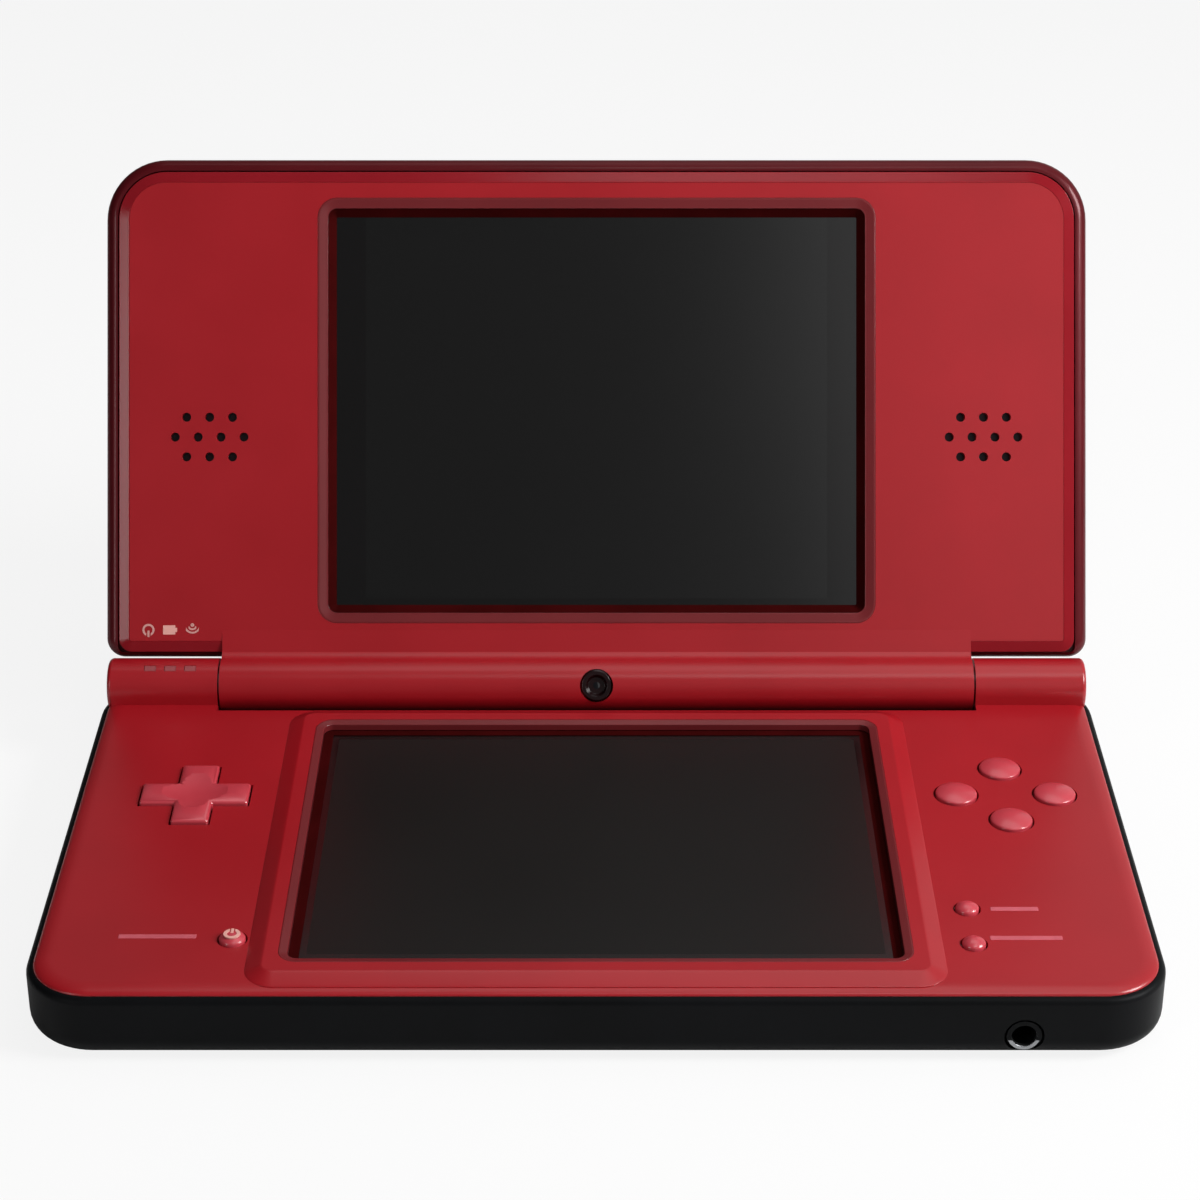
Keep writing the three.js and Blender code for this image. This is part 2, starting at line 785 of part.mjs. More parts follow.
function batteryCover() {
  const plate = slab(coverOutline(0), baseBottom, baseBottom + coverThickness);
  const low = baseBottom - overrun;
  const seat = baseBottom + coverScrewHeadThickness + seatGap;
  const wells = coverScrews.map(([, x]) => join(
    disc(x, coverScrewY, coverScrewShankRadius + slideGap, low, baseBottom + overrun),
    disc(x, coverScrewY, coverScrewHeadRadius + seatGap, low, seat),
  ));
  return cut(plate, ...wells);
}

function battery() {
  const low = baseBottom + coverThickness + seatGap;
  return softSlab(batteryOutline(0, batteryEdge), low, boardUnder - seatGap, batteryEdge / 2);
}

// Base inner pieces

function mainBoard() {
  const outline = rounded(-boardHalfWidth, boardHalfWidth, boardFront, boardBack, recessCornerRadius);
  const holes = caseScrews.map(([, x, y]) => {
    return disc(x, y, caseBossRadius + slideGap, boardUnder - overrun, boardTop + overrun);
  });
  const ends = [-1, 1].map((side) => {
    const [left, right] = span(side, caseScrewFrontX, boardHalfWidth + overrun);
    const back = caseScrewFrontY + caseBossRadius + slideGap;
    return block(left, right, boardFront - overrun, back, boardUnder - overrun, boardTop + overrun);
  });
  return cut(slab(outline, boardUnder, boardTop), ...holes, ...ends);
}

function screenPanel(outline, top, thickness) {
  return slab(outline, top - thickness, top);
}

function mat(outline) {
  return slab(outline, boardTop + seatGap, matTop);
}

function roundOutline(x, y, radius) {
  return rounded(x - radius, x + radius, y - radius, y + radius, radius);
}

function menuMat() {
  const edge = menuRadius + menuMatMargin / 2;
  return mat(rounded(menuX - edge, menuX + edge, selectY - edge, startY + edge, edge));
}

// Game card connector: a block with its contacts, two rails and a thin roof over the card
function gameCardConnector() {
  const half = bayWidth / 2;
  const outer = half + bayRail;
  const low = floorTop + seatGap;
  const high = bayTop + bayRoof;
  const front = bayFront - bayRail;
  const back = innerBack - slideGap;
  const contacts = block(-outer, outer, bayFront - bayBlockDepth, bayFront, low, high);
  const roof = block(-outer, outer, front, back, bayTop, high);
  const left = block(-outer, -half, front, back, low, high);
  const right = block(half, outer, front, back, low, high);
  return join(contacts, roof, left, right);
}

function memoryCardConnector() {
  const half = cardSlotLength / 2;
  const outer = half + cardConnectorWall;
  const [low, high] = [floorTop + seatGap, boardUnder - seatGap];
  const [slotLow, slotTop] = [underBoardZ - cardSlotHeight / 2, underBoardZ + cardSlotHeight / 2];
  const slotX = cardMouthX - cardSlotDepth;
  const body = block(cardConnectorX, cardMouthX, doorY - outer, doorY + outer, low, high);
  return cut(body, block(slotX, cardMouthX + overrun, doorY - half, doorY + half, slotLow, slotTop));
}

function headphoneJack() {
  const half = jackBodyWidth / 2;
  const front = innerFront + slideGap;
  const back = front + jackBodyDepth;
  const body = block(jackX - half, jackX + half, front, back, floorTop + seatGap, boardUnder - seatGap);
  const collar = barBack(jackX, frontY - overrun, front + seatGap, underBoardZ, jackCollarRadius);
  const bore = barBack(jackX, frontY - overrun, back - jackBoreRadius, underBoardZ, jackBoreRadius);
  return cut(join(body, collar.intersect(baseBlank(seatGap))), bore);
}

function chargingPort() {
  const back = backY - slideGap;
  const front = back - portBodyDepth;
  const body = portBlock(portWall - slideGap, front, backY).intersect(baseBlank(slideGap));
  const mouth = portBlock(0, front + portWall, back + overrun);
  const half = portWidth / 2 - portWall;
  const tall = portWall / 2;
  const end = back - portWall;
  const [low, high] = [underBoardZ - tall, underBoardZ + tall];
  const tongue = block(portX - half, portX + half, front + seatGap, end, low, high);
  return join(cut(body, mouth), tongue);
}

// Keys

function padFlange() {
  const top = wellUnder - padFlangeDrop;
  return disc(padX, padY, padFlangeRadius, top - padFlangeThickness, top, smallSides + holeSides);
}

// The dished cross, with a ridge below it that rocks on the flange
function padCap() {
  const top = wellTop + buttonProud;
  const low = wellUnder - seatGap;
  const blank = softSlab(crossOutline(0), low - padEdge, top, padEdge);
  const dishRadius = padSpan;
  const dish = new THREE.SphereGeometry(dishRadius, smallSides + smallSides, smallSides + smallSides);
  dish.translate(padX, padY, top + dishRadius - padEdge);
  const cross = cut(blank.intersect(layer(low, top)), solid(dish));
  const half = padRidge / 2;
  const reach = padArm / 2 + padRidge;
  const ridgeLow = wellUnder - padFlangeDrop + seatGap;
  return join(cross, block(padX - half, padX + half, padY - reach, padY + reach, ridgeLow, low + seatGap));
}

function buttonCap(x, y, radius) {
  const top = wellTop + buttonProud;
  const flangeTop = wellUnder - buttonFlangeDrop;
  const low = flangeTop - buttonFlangeThickness;
  const wide = radius + buttonFlange;
  return turned(x, y, [
    [0, low],
    [wide, low],
    [wide, flangeTop],
    [radius, flangeTop],
    [radius, top - buttonDome],
    [radius - buttonDome / 2, top - buttonDome / 4],
    [radius - buttonDome * 2, top],
    [0, top],
  ]);
}

function shoulderButton(side) {
  const space = shoulderSpace(side, 0);
  const low = floorTop + seatGap + seatGap;
  const ring = cut(
    slab(bodyOutline(seatGap), low, -shoulderTopDrop),
    slab(bodyOutline(shoulderWall), low - overrun, overrun),
  );
  const x = side * (shoulderInnerX + shoulderPivotInset);
  const y = backY - shoulderWall;
  const key = ring.intersect(space).intersect(baseBlank(seatGap));
  return join(key, disc(x, y, shoulderPivotRadius, low, -shoulderTopDrop));
}

function volumeRocker() {
  const key = rockerSpace(0);
  const outer = innerHalfWidth - slideGap;
  const inner = outer - rockerFlangeThickness;
  const long = rockerLength / 2 + rockerFlange;
  const tall = rockerHeight / 2 + rockerFlange / 2;
  const [low, high] = [rockerZ - tall, rockerZ + tall];
  return join(key, block(-outer, -inner, rockerY - long, rockerY + long, low, high));
}

function stylus() {
  const right = halfWidth - seatGap;
  const left = right - stylusLength;
  const headLeft = right - stylusHeadLength;
  const pen = turnedAcross(stylusY, stylusZ, [
    [0, left],
    [stylusTipRadius, left],
    [stylusRadius, left + stylusTipLength],
    [stylusRadius, headLeft - stylusGrooveLength],
    [stylusNeckRadius, headLeft - stylusGrooveLength],
    [stylusNeckRadius, headLeft],
    [stylusRadius, headLeft],
    [stylusRadius, right - stylusTipRadius],
    [stylusNeckRadius, right],
    [0, right],
  ]);
  return pen.intersect(baseBlank(seatGap));
}

function cardDoor() {
  return doorSpace(0).intersect(baseBlank(0));
}

// Lid, laid out closed with y and z at 0 on the hinge axis

function lidOutline(inset) {
  const x = halfWidth - inset;
  return rounded(-x, x, lidFrontY + inset, lidBackY - inset, cornerRadius - inset, lidBackCornerRadius);
}

// The inner bezel's outline, which leaves only a narrow rim of the cover at the back
function bezelOutline(grow) {
  const x = halfWidth - bezelInset + grow;
  const front = lidFrontY + bezelInset - grow;
  const back = lidBackY - lidBackRim + grow;
  const backRadius = lidBackCornerRadius - lidBackRim + grow;
  return rounded(-x, x, front, back, cornerRadius - bezelInset + grow, backRadius);
}

// An upright round bar on the outer camera's axis
function onOuterCamera(radius, low, high) {
  return disc(halfWidth - outerCameraToSide, lidFrontY + outerCameraToEdge, radius, low, high);
}

function lidOuterShell() {
  const blank = softSlab(lidOutline(0), lidSkirtZ - lidUpperEdge, lidTop, lidUpperEdge);
  const body = blank.intersect(layer(lidSkirtZ, lidTop));
  const hollow = slab(lidOutline(lidRim), lidSkirtZ - overrun, lidUnderSkin);
  const seat = slab(bezelOutline(slideGap), lidSkirtZ - overrun, bezelTop + seatGap);
  const notchFront = lidBackY - lidRim - overrun;
  const notchTop = lidFace + webHeight + slideGap;
  const notch = block(-knuckleX, knuckleX, notchFront, lidBackY + overrun, lidSkirtZ - overrun, notchTop);
  const pocketLow = lidTop - outerWindowThickness - seatGap;
  const pocket = onOuterCamera(outerCameraRadius + seatGap, pocketLow, lidTop + overrun);
  const aperture = onOuterCamera(outerApertureRadius, lidUnderSkin - overrun, lidTop);
  return cut(body, hollow, seat, notch, pocket, aperture);
}

// Places of the round holes of one grille, each row set half a pitch off its neighbours
function grillePlaces(side) {
  const places = [];
  grilleRows.forEach((count, row) => {
    const y = (row - (grilleRows.length - 1) / 2) * grillePitch * Math.sin(Math.PI / 3);
    for (let i = 0; i < count; i += 1) {
      const x = (i - (count - 1) / 2) * grillePitch;
      places.push([side * speakerX + x, -speakerToAxis + y]);
    }
  });
  return places;
}

// The lid's barrel with the web that carries it
function lidBarrel() {
  const barrel = barAcross(-lidBarrelX, lidBarrelX, 0, 0, barrelRadius, barrelSides);
  const webBack = -Math.sqrt(barrelRadius ** 2 - webHeight ** 2);
  const webFront = lidBackY - bezelInset - lidRim;
  const web = block(-lidBarrelX, lidBarrelX, webFront, webBack, lidFace, lidFace + webHeight - slideGap);
  const bores = [-1, 1].map((side) => {
    const [left, right] = span(side, lidBarrelX - clutchReach - slideGap, lidBarrelX + overrun);
    return barAcross(left, right, 0, 0, clutchRadius + slideGap);
  });
  const cameraLow = -barrelRadius - overrun;
  const cameraHigh = -innerCameraFace + innerCameraDepth + seatGap;
  return cut(join(barrel, web), ...bores, disc(0, 0, innerCameraRadius + seatGap, cameraLow, cameraHigh));
}

function lidInnerBezel() {
  const full = softSlab(bezelOutline(0), lidFace, bezelTop + bezelEdge, bezelEdge);
  const plate = full.intersect(layer(lidFace, bezelTop));
  const border = cut(
    slab(upperRecess(borderBand, borderBand), lidFace - overrun, lidFace + borderDepth),
    slab(upperRecess(-overrun), lidFace - overrun, lidFace + overrun),
  );
  const opening = slab(upperRecess(0), lidFace - overrun, bezelTop + overrun);
  const holes = [...grillePlaces(-1), ...grillePlaces(1)].map(([x, y]) => {
    return disc(x, y, grilleHoleRadius, lidFace - overrun, bezelTop + overrun, holeSides);
  });
  return join(cut(plate, border, opening, ...holes), lidBarrel());
}

function speaker(side) {
  const x = side * speakerX;
  const low = bezelTop + seatGap;
  const frameTop = low + speakerThickness - speakerMagnetThickness;
  const frame = disc(x, -speakerToAxis, speakerRadius, low, frameTop, smallSides + holeSides);
  const magnet = disc(x, -speakerToAxis, speakerMagnetRadius, low + seatGap, low + speakerThickness);
  return join(frame, magnet);
}

function innerCamera() {
  const low = -innerCameraFace;
  const body = disc(0, 0, innerCameraRadius, low, low + innerCameraDepth);
  return cut(body, disc(0, 0, innerLensRadius, low - overrun, low + innerLensDepth));
}

function outerCameraWindow() {
  return onOuterCamera(outerCameraRadius, lidTop - outerWindowThickness, lidTop - seatGap);
}

function outerCameraModule() {
  return onOuterCamera(outerModuleRadius, bezelTop + seatGap, lidUnderSkin - seatGap);
}

// Assembly

function buildLid() {
  const lid = new THREE.Group();
  const windowTop = bezelTop + seatGap + windowThickness;
  const displayTop = windowTop + seatGap + upperDisplayThickness;
  const window = screenPanel(upperRecess(screenLap), windowTop, windowThickness);
  const display = screenPanel(upperRecess(screenLap), displayTop, upperDisplayThickness);
  lid.add(
    piece('lid_outer_shell', lidOuterShell(), finishes.redGloss),
    piece('lid_inner_bezel', lidInnerBezel(), finishes.redSatin),
    piece('upper_screen_window', window, finishes.screen),
    piece('upper_display_module', display, finishes.panel),
    piece('speaker_left', speaker(-1), finishes.black),
    piece('speaker_right', speaker(1), finishes.black),
    piece('inner_camera_module', innerCamera(), finishes.glass),
    piece('outer_camera_window', outerCameraWindow(), finishes.glass),
    piece('outer_camera_module', outerCameraModule(), finishes.black),
  );
  lid.position.set(0, hingeY, 0);
  lid.rotation.x = -THREE.MathUtils.degToRad(openDegrees);
  return lid;
}

function buildCases() {
  const cases = new THREE.Group();
  cases.add(
    piece('base_top_shell', baseTopShell(), finishes.redSatin),
    piece('base_bottom_shell', baseBottomShell(), finishes.black),
    piece('battery_cover', batteryCover(), finishes.black),
    piece('hinge_clutch_left', hingeClutch(-1), finishes.steel),
    piece('hinge_clutch_right', hingeClutch(1), finishes.steel),
  );
  for (const [place, x, y] of caseScrews) {
    cases.add(piece(`case_screw_${place}`, caseScrew(x, y), finishes.steel));
  }
  for (const [place, x, y] of feet) {
    cases.add(piece(`foot_${place}`, foot(x, y), finishes.rubber));
  }
  for (const [place, x] of coverScrews) {
    cases.add(piece(`cover_screw_${place}`, coverScrew(x), finishes.steel));
  }
  for (let i = 0; i < lightCount; i += 1) {
    cases.add(piece(`indicator_light_${i + 1}`, indicatorLight(i), finishes.light));
  }
  return cases;
}

function buildInner() {
  const inner = new THREE.Group();
  const touchPanel = screenPanel(lowerRecess(screenLap), touchTop, touchPanelThickness);
  const display = screenPanel(lowerRecess(screenLap), lowerDisplayTop, lowerDisplayThickness);
  inner.add(
    piece('touch_panel', touchPanel, finishes.screen),
    piece('lower_display_module', display, finishes.panel),
    piece('main_board', mainBoard(), finishes.board),
    piece('battery_pack', battery(), finishes.battery),
    piece('pad_contact_mat', mat(roundOutline(padX, padY, padMatRadius)), finishes.rubber),
    piece('face_contact_mat', mat(roundOutline(faceX, faceY, faceMatRadius)), finishes.rubber),
    piece('menu_contact_mat', menuMat(), finishes.rubber),
    piece('power_contact_mat', mat(roundOutline(powerX, powerY, powerMatRadius)), finishes.rubber),
    piece('game_card_connector', gameCardConnector(), finishes.black),
    piece('memory_card_connector', memoryCardConnector(), finishes.steel),
    piece('headphone_jack', headphoneJack(), finishes.black),
    piece('charging_port', chargingPort(), finishes.black),
  );
  return inner;
}

function buildKeys() {
  const keys = new THREE.Group();
  keys.add(
    piece('pad_flange', padFlange(), finishes.black),
    piece('pad_cap', padCap(), finishes.redSatin),
    piece('shoulder_left', shoulderButton(-1), finishes.blackGloss),
    piece('shoulder_right', shoulderButton(1), finishes.blackGloss),
    piece('volume_rocker', volumeRocker(), finishes.blackGloss),
    piece('memory_card_door', cardDoor(), finishes.black),
    piece('stylus', stylus(), finishes.black),
  );
  for (const [place, x, y] of faceButtons) {
    keys.add(piece(`face_button_${place}`, buttonCap(x, y, faceRadius), finishes.redSatin));
  }
  for (const [name, x, y, radius] of smallButtons) {
    keys.add(piece(name, buttonCap(x, y, radius), finishes.redSatin));
  }
  return keys;
}

// The finished console stands on its feet with the origin under its middle
const gameConsole = new THREE.Group();
gameConsole.add(buildLid(), buildCases(), buildInner(), buildKeys());
gameConsole.updateMatrixWorld(true);
const reach = new THREE.Box3().setFromObject(gameConsole, true);
const middle = reach.getCenter(new THREE.Vector3());
gameConsole.position.set(-middle.x, -middle.y, -reach.min.z);

export default gameConsole;
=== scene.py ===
"""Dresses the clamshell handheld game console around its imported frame.

The console is laid out closed, in millimetres: x is 0 in the middle, y is 0 half way from front
to back and z is 0 at the height of the hinge axis. The lid's own layout has y and z at 0 on the
hinge axis and is turned open about it. Every mesh ends in metres in the row frame.
"""

import json
import logging
import math
from dataclasses import dataclass, field, replace
from enum import Enum
from functools import reduce
from typing import Iterable, Sequence, TypeAlias

import bmesh
import bpy
from mathutils import Matrix, Vector

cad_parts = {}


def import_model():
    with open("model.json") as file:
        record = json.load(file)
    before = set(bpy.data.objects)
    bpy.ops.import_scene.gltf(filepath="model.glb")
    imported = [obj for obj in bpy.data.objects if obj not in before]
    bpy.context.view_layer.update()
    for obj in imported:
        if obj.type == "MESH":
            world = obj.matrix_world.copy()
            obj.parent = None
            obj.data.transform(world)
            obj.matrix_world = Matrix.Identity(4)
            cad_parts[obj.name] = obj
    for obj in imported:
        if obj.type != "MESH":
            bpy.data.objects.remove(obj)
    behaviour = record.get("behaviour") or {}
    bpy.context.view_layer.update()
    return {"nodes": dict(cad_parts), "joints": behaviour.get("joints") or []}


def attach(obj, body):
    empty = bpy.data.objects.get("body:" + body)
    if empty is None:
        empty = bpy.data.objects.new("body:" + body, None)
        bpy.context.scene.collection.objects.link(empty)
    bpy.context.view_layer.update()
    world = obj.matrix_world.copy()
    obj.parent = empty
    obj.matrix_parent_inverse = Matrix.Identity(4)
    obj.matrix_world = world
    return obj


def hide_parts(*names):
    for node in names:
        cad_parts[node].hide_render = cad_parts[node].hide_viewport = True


Mesh: TypeAlias = bmesh.types.BMesh
Node: TypeAlias = bpy.types.Node
Socket: TypeAlias = bpy.types.NodeSocket
Tree: TypeAlias = bpy.types.NodeTree
Thing: TypeAlias = bpy.types.Object

# One millimetre in metres
MM = 0.001
# Lengths in millimetres: edges shorter than TINY are closed up before an edge is rounded, points
# closer than SAME_POINT are one, a tool goes OVERRUN past what it cuts, and a window or a panel
# goes WINDOW_LAP under the frame round it. Polished rings overlap the case by TINY
TINY = 0.02
SAME_POINT = 0.001
OVERRUN = 2.0
WINDOW_LAP = 1.2
# Faces that lean less than this from each other are one: in a new mesh, and in a CAD node
FLAT_DEGREES = 0.2
NODE_FLAT_DEGREES = 0.5
# Facets of the hinge's round parts, and of every other round part
HINGE_FACETS = 96
FACETS = 48
WHITE = (1.0, 1.0, 1.0, 1.0)
LOG = logging.getLogger("console")


# Shared layout


@dataclass(frozen=True)
class Layout:
    """Sizes in millimetres that several sub-assemblies share.

    They are the solids' own, but for lid_back, which is 0.2 mm nearer the hinge.
    """

    half_width: float = 80.5
    half_depth: float = 45.7
    corner_radius: float = 10.0
    hinge_y: float = 40.6
    barrel_radius: float = 4.4
    knuckle_x: float = 61.6
    barrel_x: float = 61.3
    lid_front: float = -86.3
    lid_back: float = -4.6
    lid_face: float = 0.2
    base_top: float = -0.2
    well_top: float = -1.3
    well_under: float = -2.5
    seam: float = -2.1
    floor_top: float = -10.6
    base_bottom: float = -12.0
    slide_gap: float = 0.3
    under_board: float = -8.15


LAYOUT = Layout()


@dataclass(frozen=True)
class Placement:
    """Carries the closed layout's millimetres into the row frame's metres."""

    hinge: Vector
    open_angle: float

    def base(self) -> Matrix:
        """Returns the base layout's matrix."""
        shift = Matrix.Translation((0.0, -LAYOUT.hinge_y, 0.0))
        return Matrix.Translation(self.hinge) @ Matrix.Scale(MM, 4) @ shift

    def lid(self) -> Matrix:
        """Returns the lid layout's matrix, turned open about the hinge axis."""
        turn = Matrix.Rotation(-self.open_angle, 4, "X")
        return Matrix.Translation(self.hinge) @ turn @ Matrix.Scale(MM, 4)


class Operation(Enum):
    """How two solids are put together."""

    JOIN = "UNION"
    CUT = "DIFFERENCE"
    KEEP = "INTERSECT"


class Axis(Enum):
    """The direction that a turned solid's axis has."""

    X = "X"
    Y = "Y"
    Z = "Z"

    def turn(self) -> Matrix:
        """Works out the turn that takes +Z to this axis.

        Returns:
            The turn's matrix.
        """
        turns = {
            Axis.X: Matrix.Rotation(math.pi / 2, 4, "Y"),
            Axis.Y: Matrix.Rotation(-math.pi / 2, 4, "X"),
            Axis.Z: Matrix.Identity(4),
        }
        return turns[self]


@dataclass(frozen=True)
class Outline:
    """A rectangle with rounded corners, in millimetres."""

    left: float
    right: float
    front: float
    back: float
    front_radius: float
    back_radius: float
    steps: int = 14

    def loop(self, mesh: Mesh, inset: float, height: float) -> list[bmesh.types.BMEdge]:
        """Draws the outline as a closed loop of edges.

        Args:
            mesh: The mesh that gets the loop.
            inset: How far the outline is drawn in, or out where negative.
            height: The loop's z.

        Returns:
            The loop's edges.
        """
        before = set(mesh.edges)
        made = bmesh.ops.create_grid(mesh, x_segments=1, y_segments=1, size=0.5)["verts"]
        size = (self.right - self.left - 2 * inset, self.back - self.front - 2 * inset, 1.0)
        bmesh.ops.scale(mesh, vec=size, verts=made)
        centre = ((self.left + self.right) / 2, (self.front + self.back) / 2, height)
        bmesh.ops.translate(mesh, vec=centre, verts=made)
        middle = (self.front + self.back) / 2
        ends = ((self.front_radius, [v for v in made if v.co.y < middle]),
                (self.back_radius, [v for v in made if v.co.y > middle]))
        for radius, corners in ends:
            bmesh.ops.bevel(mesh, geom=corners, offset=max(radius - inset, TINY), segments=self.steps,
                            profile=0.5, affect="VERTICES", material=-1)
        edges = [e for e in mesh.edges if e not in before]
        faces = list({f for e in edges for f in e.link_faces})
        bmesh.ops.delete(mesh, geom=faces, context="FACES_ONLY")
        return edges

    def grown(self, margin: float) -> "Outline":
        """Returns the outline let out by a margin all round, with the corners following."""
        return Outline(self.left - margin, self.right + margin, self.front - margin, self.back + margin,
                       self.front_radius + margin, self.back_radius + margin, self.steps)


def symmetric(half_width: float, front: float, back: float, front_radius: float,
              back_radius: float | None = None) -> Outline:
    """Returns an outline that is centred on x = 0."""
    rear = front_radius if back_radius is None else back_radius
    return Outline(-half_width, half_width, front, back, front_radius, rear)


# Mesh tools


def loft(outline: Outline, rings: Sequence[tuple[float, float]]) -> Mesh:
    """Skins a closed solid through loops of one outline.

    Args:
        outline: The outline that every loop has.
        rings: Each loop's inset and height, from low to high.

    Returns:
        The solid.
    """
    mesh = bmesh.new()
    loops = [outline.loop(mesh, inset, height) for inset, height in rings]
    for lower, upper in zip(loops, loops[1:]):
        bmesh.ops.bridge_loops(mesh, edges=lower + upper)
    bmesh.ops.contextual_create(mesh, geom=loops[0])
    bmesh.ops.contextual_create(mesh, geom=loops[-1])
    bmesh.ops.recalc_face_normals(mesh, faces=mesh.faces)
    return mesh


def prism(outline: Outline, low: float, high: float, inset: float = 0.0) -> Mesh:
    """Raises an outline between two heights."""
    return loft(outline, [(inset, low), (inset, high)])


def rounding(run: float, rise: float, steps: int, high: float) -> list[tuple[float, float]]:
    """Lists the loops of a rounded upper edge, as insets and heights from low to high."""
    turns = [math.pi / 2 * i / steps for i in range(steps + 1)]
    return [(run * (1 - math.cos(a)), high - rise + rise * math.sin(a)) for a in turns]


def rounding_below(run: float, rise: float, steps: int, low: float) -> list[tuple[float, float]]:
    """Lists the loops of a lower edge that is rounded off, from low to high."""
    return [(inset, 2 * low - height) for inset, height in reversed(rounding(run, rise, steps, low))]


def box(left: float, right: float, front: float, back: float, low: float, high: float) -> Mesh:
    """Makes a box.

    Args:
        left: Its lowest x.
        right: Its highest x.
        front: Its lowest y.
        back: Its highest y.
        low: Its lowest z.
        high: Its highest z.

    Returns:
        The solid.
    """
    mesh = bmesh.new()
    bmesh.ops.create_cube(mesh, size=1.0)
    bmesh.ops.scale(mesh, vec=(right - left, back - front, high - low), verts=mesh.verts)
    centre = ((left + right) / 2, (front + back) / 2, (low + high) / 2)
    bmesh.ops.translate(mesh, vec=centre, verts=mesh.verts)
    return mesh


def turned(profile: Sequence[tuple[float, float]], centre: tuple[float, float, float],
           axis: Axis = Axis.Z, steps: int = FACETS) -> Mesh:
    """Spins a profile into a closed solid of revolution.

    Args:
        profile: Radius and height points from one end of the axis to the other.
        centre: Where the axis and the profile's zero height lie.
        axis: The direction of the axis.
        steps: Facets round it.

    Returns:
        The solid.
    """
    mesh = bmesh.new()
    corners = [mesh.verts.new((radius, 0.0, height)) for radius, height in profile]
    edges = [mesh.edges.new(pair) for pair in zip(corners, corners[1:])]
    bmesh.ops.spin(mesh, geom=corners + edges, cent=(0, 0, 0), axis=(0, 0, 1), angle=2 * math.pi,
                   steps=steps, use_merge=True, use_duplicate=False)
    bmesh.ops.remove_doubles(mesh, verts=mesh.verts, dist=SAME_POINT)
    bmesh.ops.recalc_face_normals(mesh, faces=mesh.faces)
    bmesh.ops.transform(mesh, matrix=Matrix.Translation(centre) @ axis.turn(), verts=mesh.verts)
    return mesh


def disc(radius: float, low: float, high: float, centre: tuple[float, float], steps: int = FACETS) -> Mesh:
    """Makes a plain upright round bar."""
    return turned([(0.0, low), (radius, low), (radius, high), (0.0, high)], (*centre, 0.0), steps=steps)


def bar(radius: float, start: float, end: float, centre: tuple[float, float], axis: Axis,
        steps: int = FACETS) -> Mesh:
    """Makes a plain round bar along X or Y, through the other two coordinates of centre."""
    where = (0.0, *centre) if axis is Axis.X else (centre[0], 0.0, centre[1])
    return turned([(0.0, start), (radius, start), (radius, end), (0.0, end)], where, axis, steps)


def extruded(corners: Sequence[tuple[float, float]], left: float, right: float) -> Mesh:
    """Draws a closed outline in y and z and extrudes it along x.

    Args:
        corners: The outline's y and z points in order.
        left: The x where the solid starts.
        right: The x where it ends.

    Returns:
        The solid.
    """
    mesh = bmesh.new()
    points = [mesh.verts.new((left, y, z)) for y, z in corners]
    face = bmesh.ops.contextual_create(mesh, geom=points)["faces"]
    moved = bmesh.ops.extrude_face_region(mesh, geom=face)["geom"]
    far = [part for part in moved if isinstance(part, bmesh.types.BMVert)]
    bmesh.ops.translate(mesh, vec=(right - left, 0.0, 0.0), verts=far)
    bmesh.ops.recalc_face_normals(mesh, faces=mesh.faces)
    return mesh


def gathered(meshes: Iterable[Mesh]) -> Mesh:
    """Copies several meshes into one, without joining their surfaces.

    Args:
        meshes: The meshes, which are freed.

    Returns:
        The mesh that holds them all.
    """
    whole = bmesh.new()
    for mesh in meshes:
        data = bpy.data.meshes.new("part")
        mesh.to_mesh(data)
        mesh.free()
        whole.from_mesh(data)
        bpy.data.meshes.remove(data)
    return whole


def as_object(mesh: Mesh, name: str) -> Thing:
    """Puts a mesh into a linked object and frees it.

    Args:
        mesh: The mesh.
        name: The object's name and its mesh's.

    Returns:
        The object.
    """
    data = bpy.data.meshes.new(name)
    mesh.to_mesh(data)
    mesh.free()
    thing = bpy.data.objects.new(name, data)
    bpy.context.scene.collection.objects.link(thing)
    return thing


def bake(thing: Thing) -> None:
    """Applies every modifier of an object to its mesh.

    Args:
        thing: The object.
    """
    bpy.context.view_layer.update()
    graph = bpy.context.evaluated_depsgraph_get()
    result = thing.evaluated_get(graph)
    data = bpy.data.meshes.new_from_object(result, preserve_all_data_layers=True, depsgraph=graph)
    old = thing.data
    thing.modifiers.clear()
    thing.data = data
    bpy.data.meshes.remove(old)
    data.name = thing.name


def combined(first: Mesh, second: Mesh, operation: Operation) -> Mesh:
    """Joins, cuts or intersects two solids.

    Args:
        first: The solid that is kept.
        second: The solid that is joined to it or cuts it.
        operation: What is done.

    Returns:
        The result, with its flat neighbours merged.
    """
    target, tool = as_object(first, "target"), as_object(second, "tool")
    change = target.modifiers.new("change", "BOOLEAN")
    change.operation, change.solver, change.object = operation.value, "EXACT", tool
    change.use_self = operation is Operation.JOIN
    bake(target)
    mesh = bmesh.new()
    mesh.from_mesh(target.data)
    for thing in (target, tool):
        data = thing.data
        bpy.data.objects.remove(thing)
        bpy.data.meshes.remove(data)
    bmesh.ops.remove_doubles(mesh, verts=mesh.verts, dist=SAME_POINT)
    flat = math.radians(FLAT_DEGREES)
    bmesh.ops.dissolve_limit(mesh, angle_limit=flat, verts=mesh.verts, edges=mesh.edges)
    return mesh


def cut(whole: Mesh, *tools: Mesh) -> Mesh:
    """Cuts tools out of a solid, one after another."""
    return reduce(lambda left, tool: combined(left, tool, Operation.CUT), tools, whole)


def join(whole: Mesh, *parts: Mesh) -> Mesh:
    """Joins parts to a solid, one after another."""
    return reduce(lambda so_far, part: combined(so_far, part, Operation.JOIN), parts, whole)


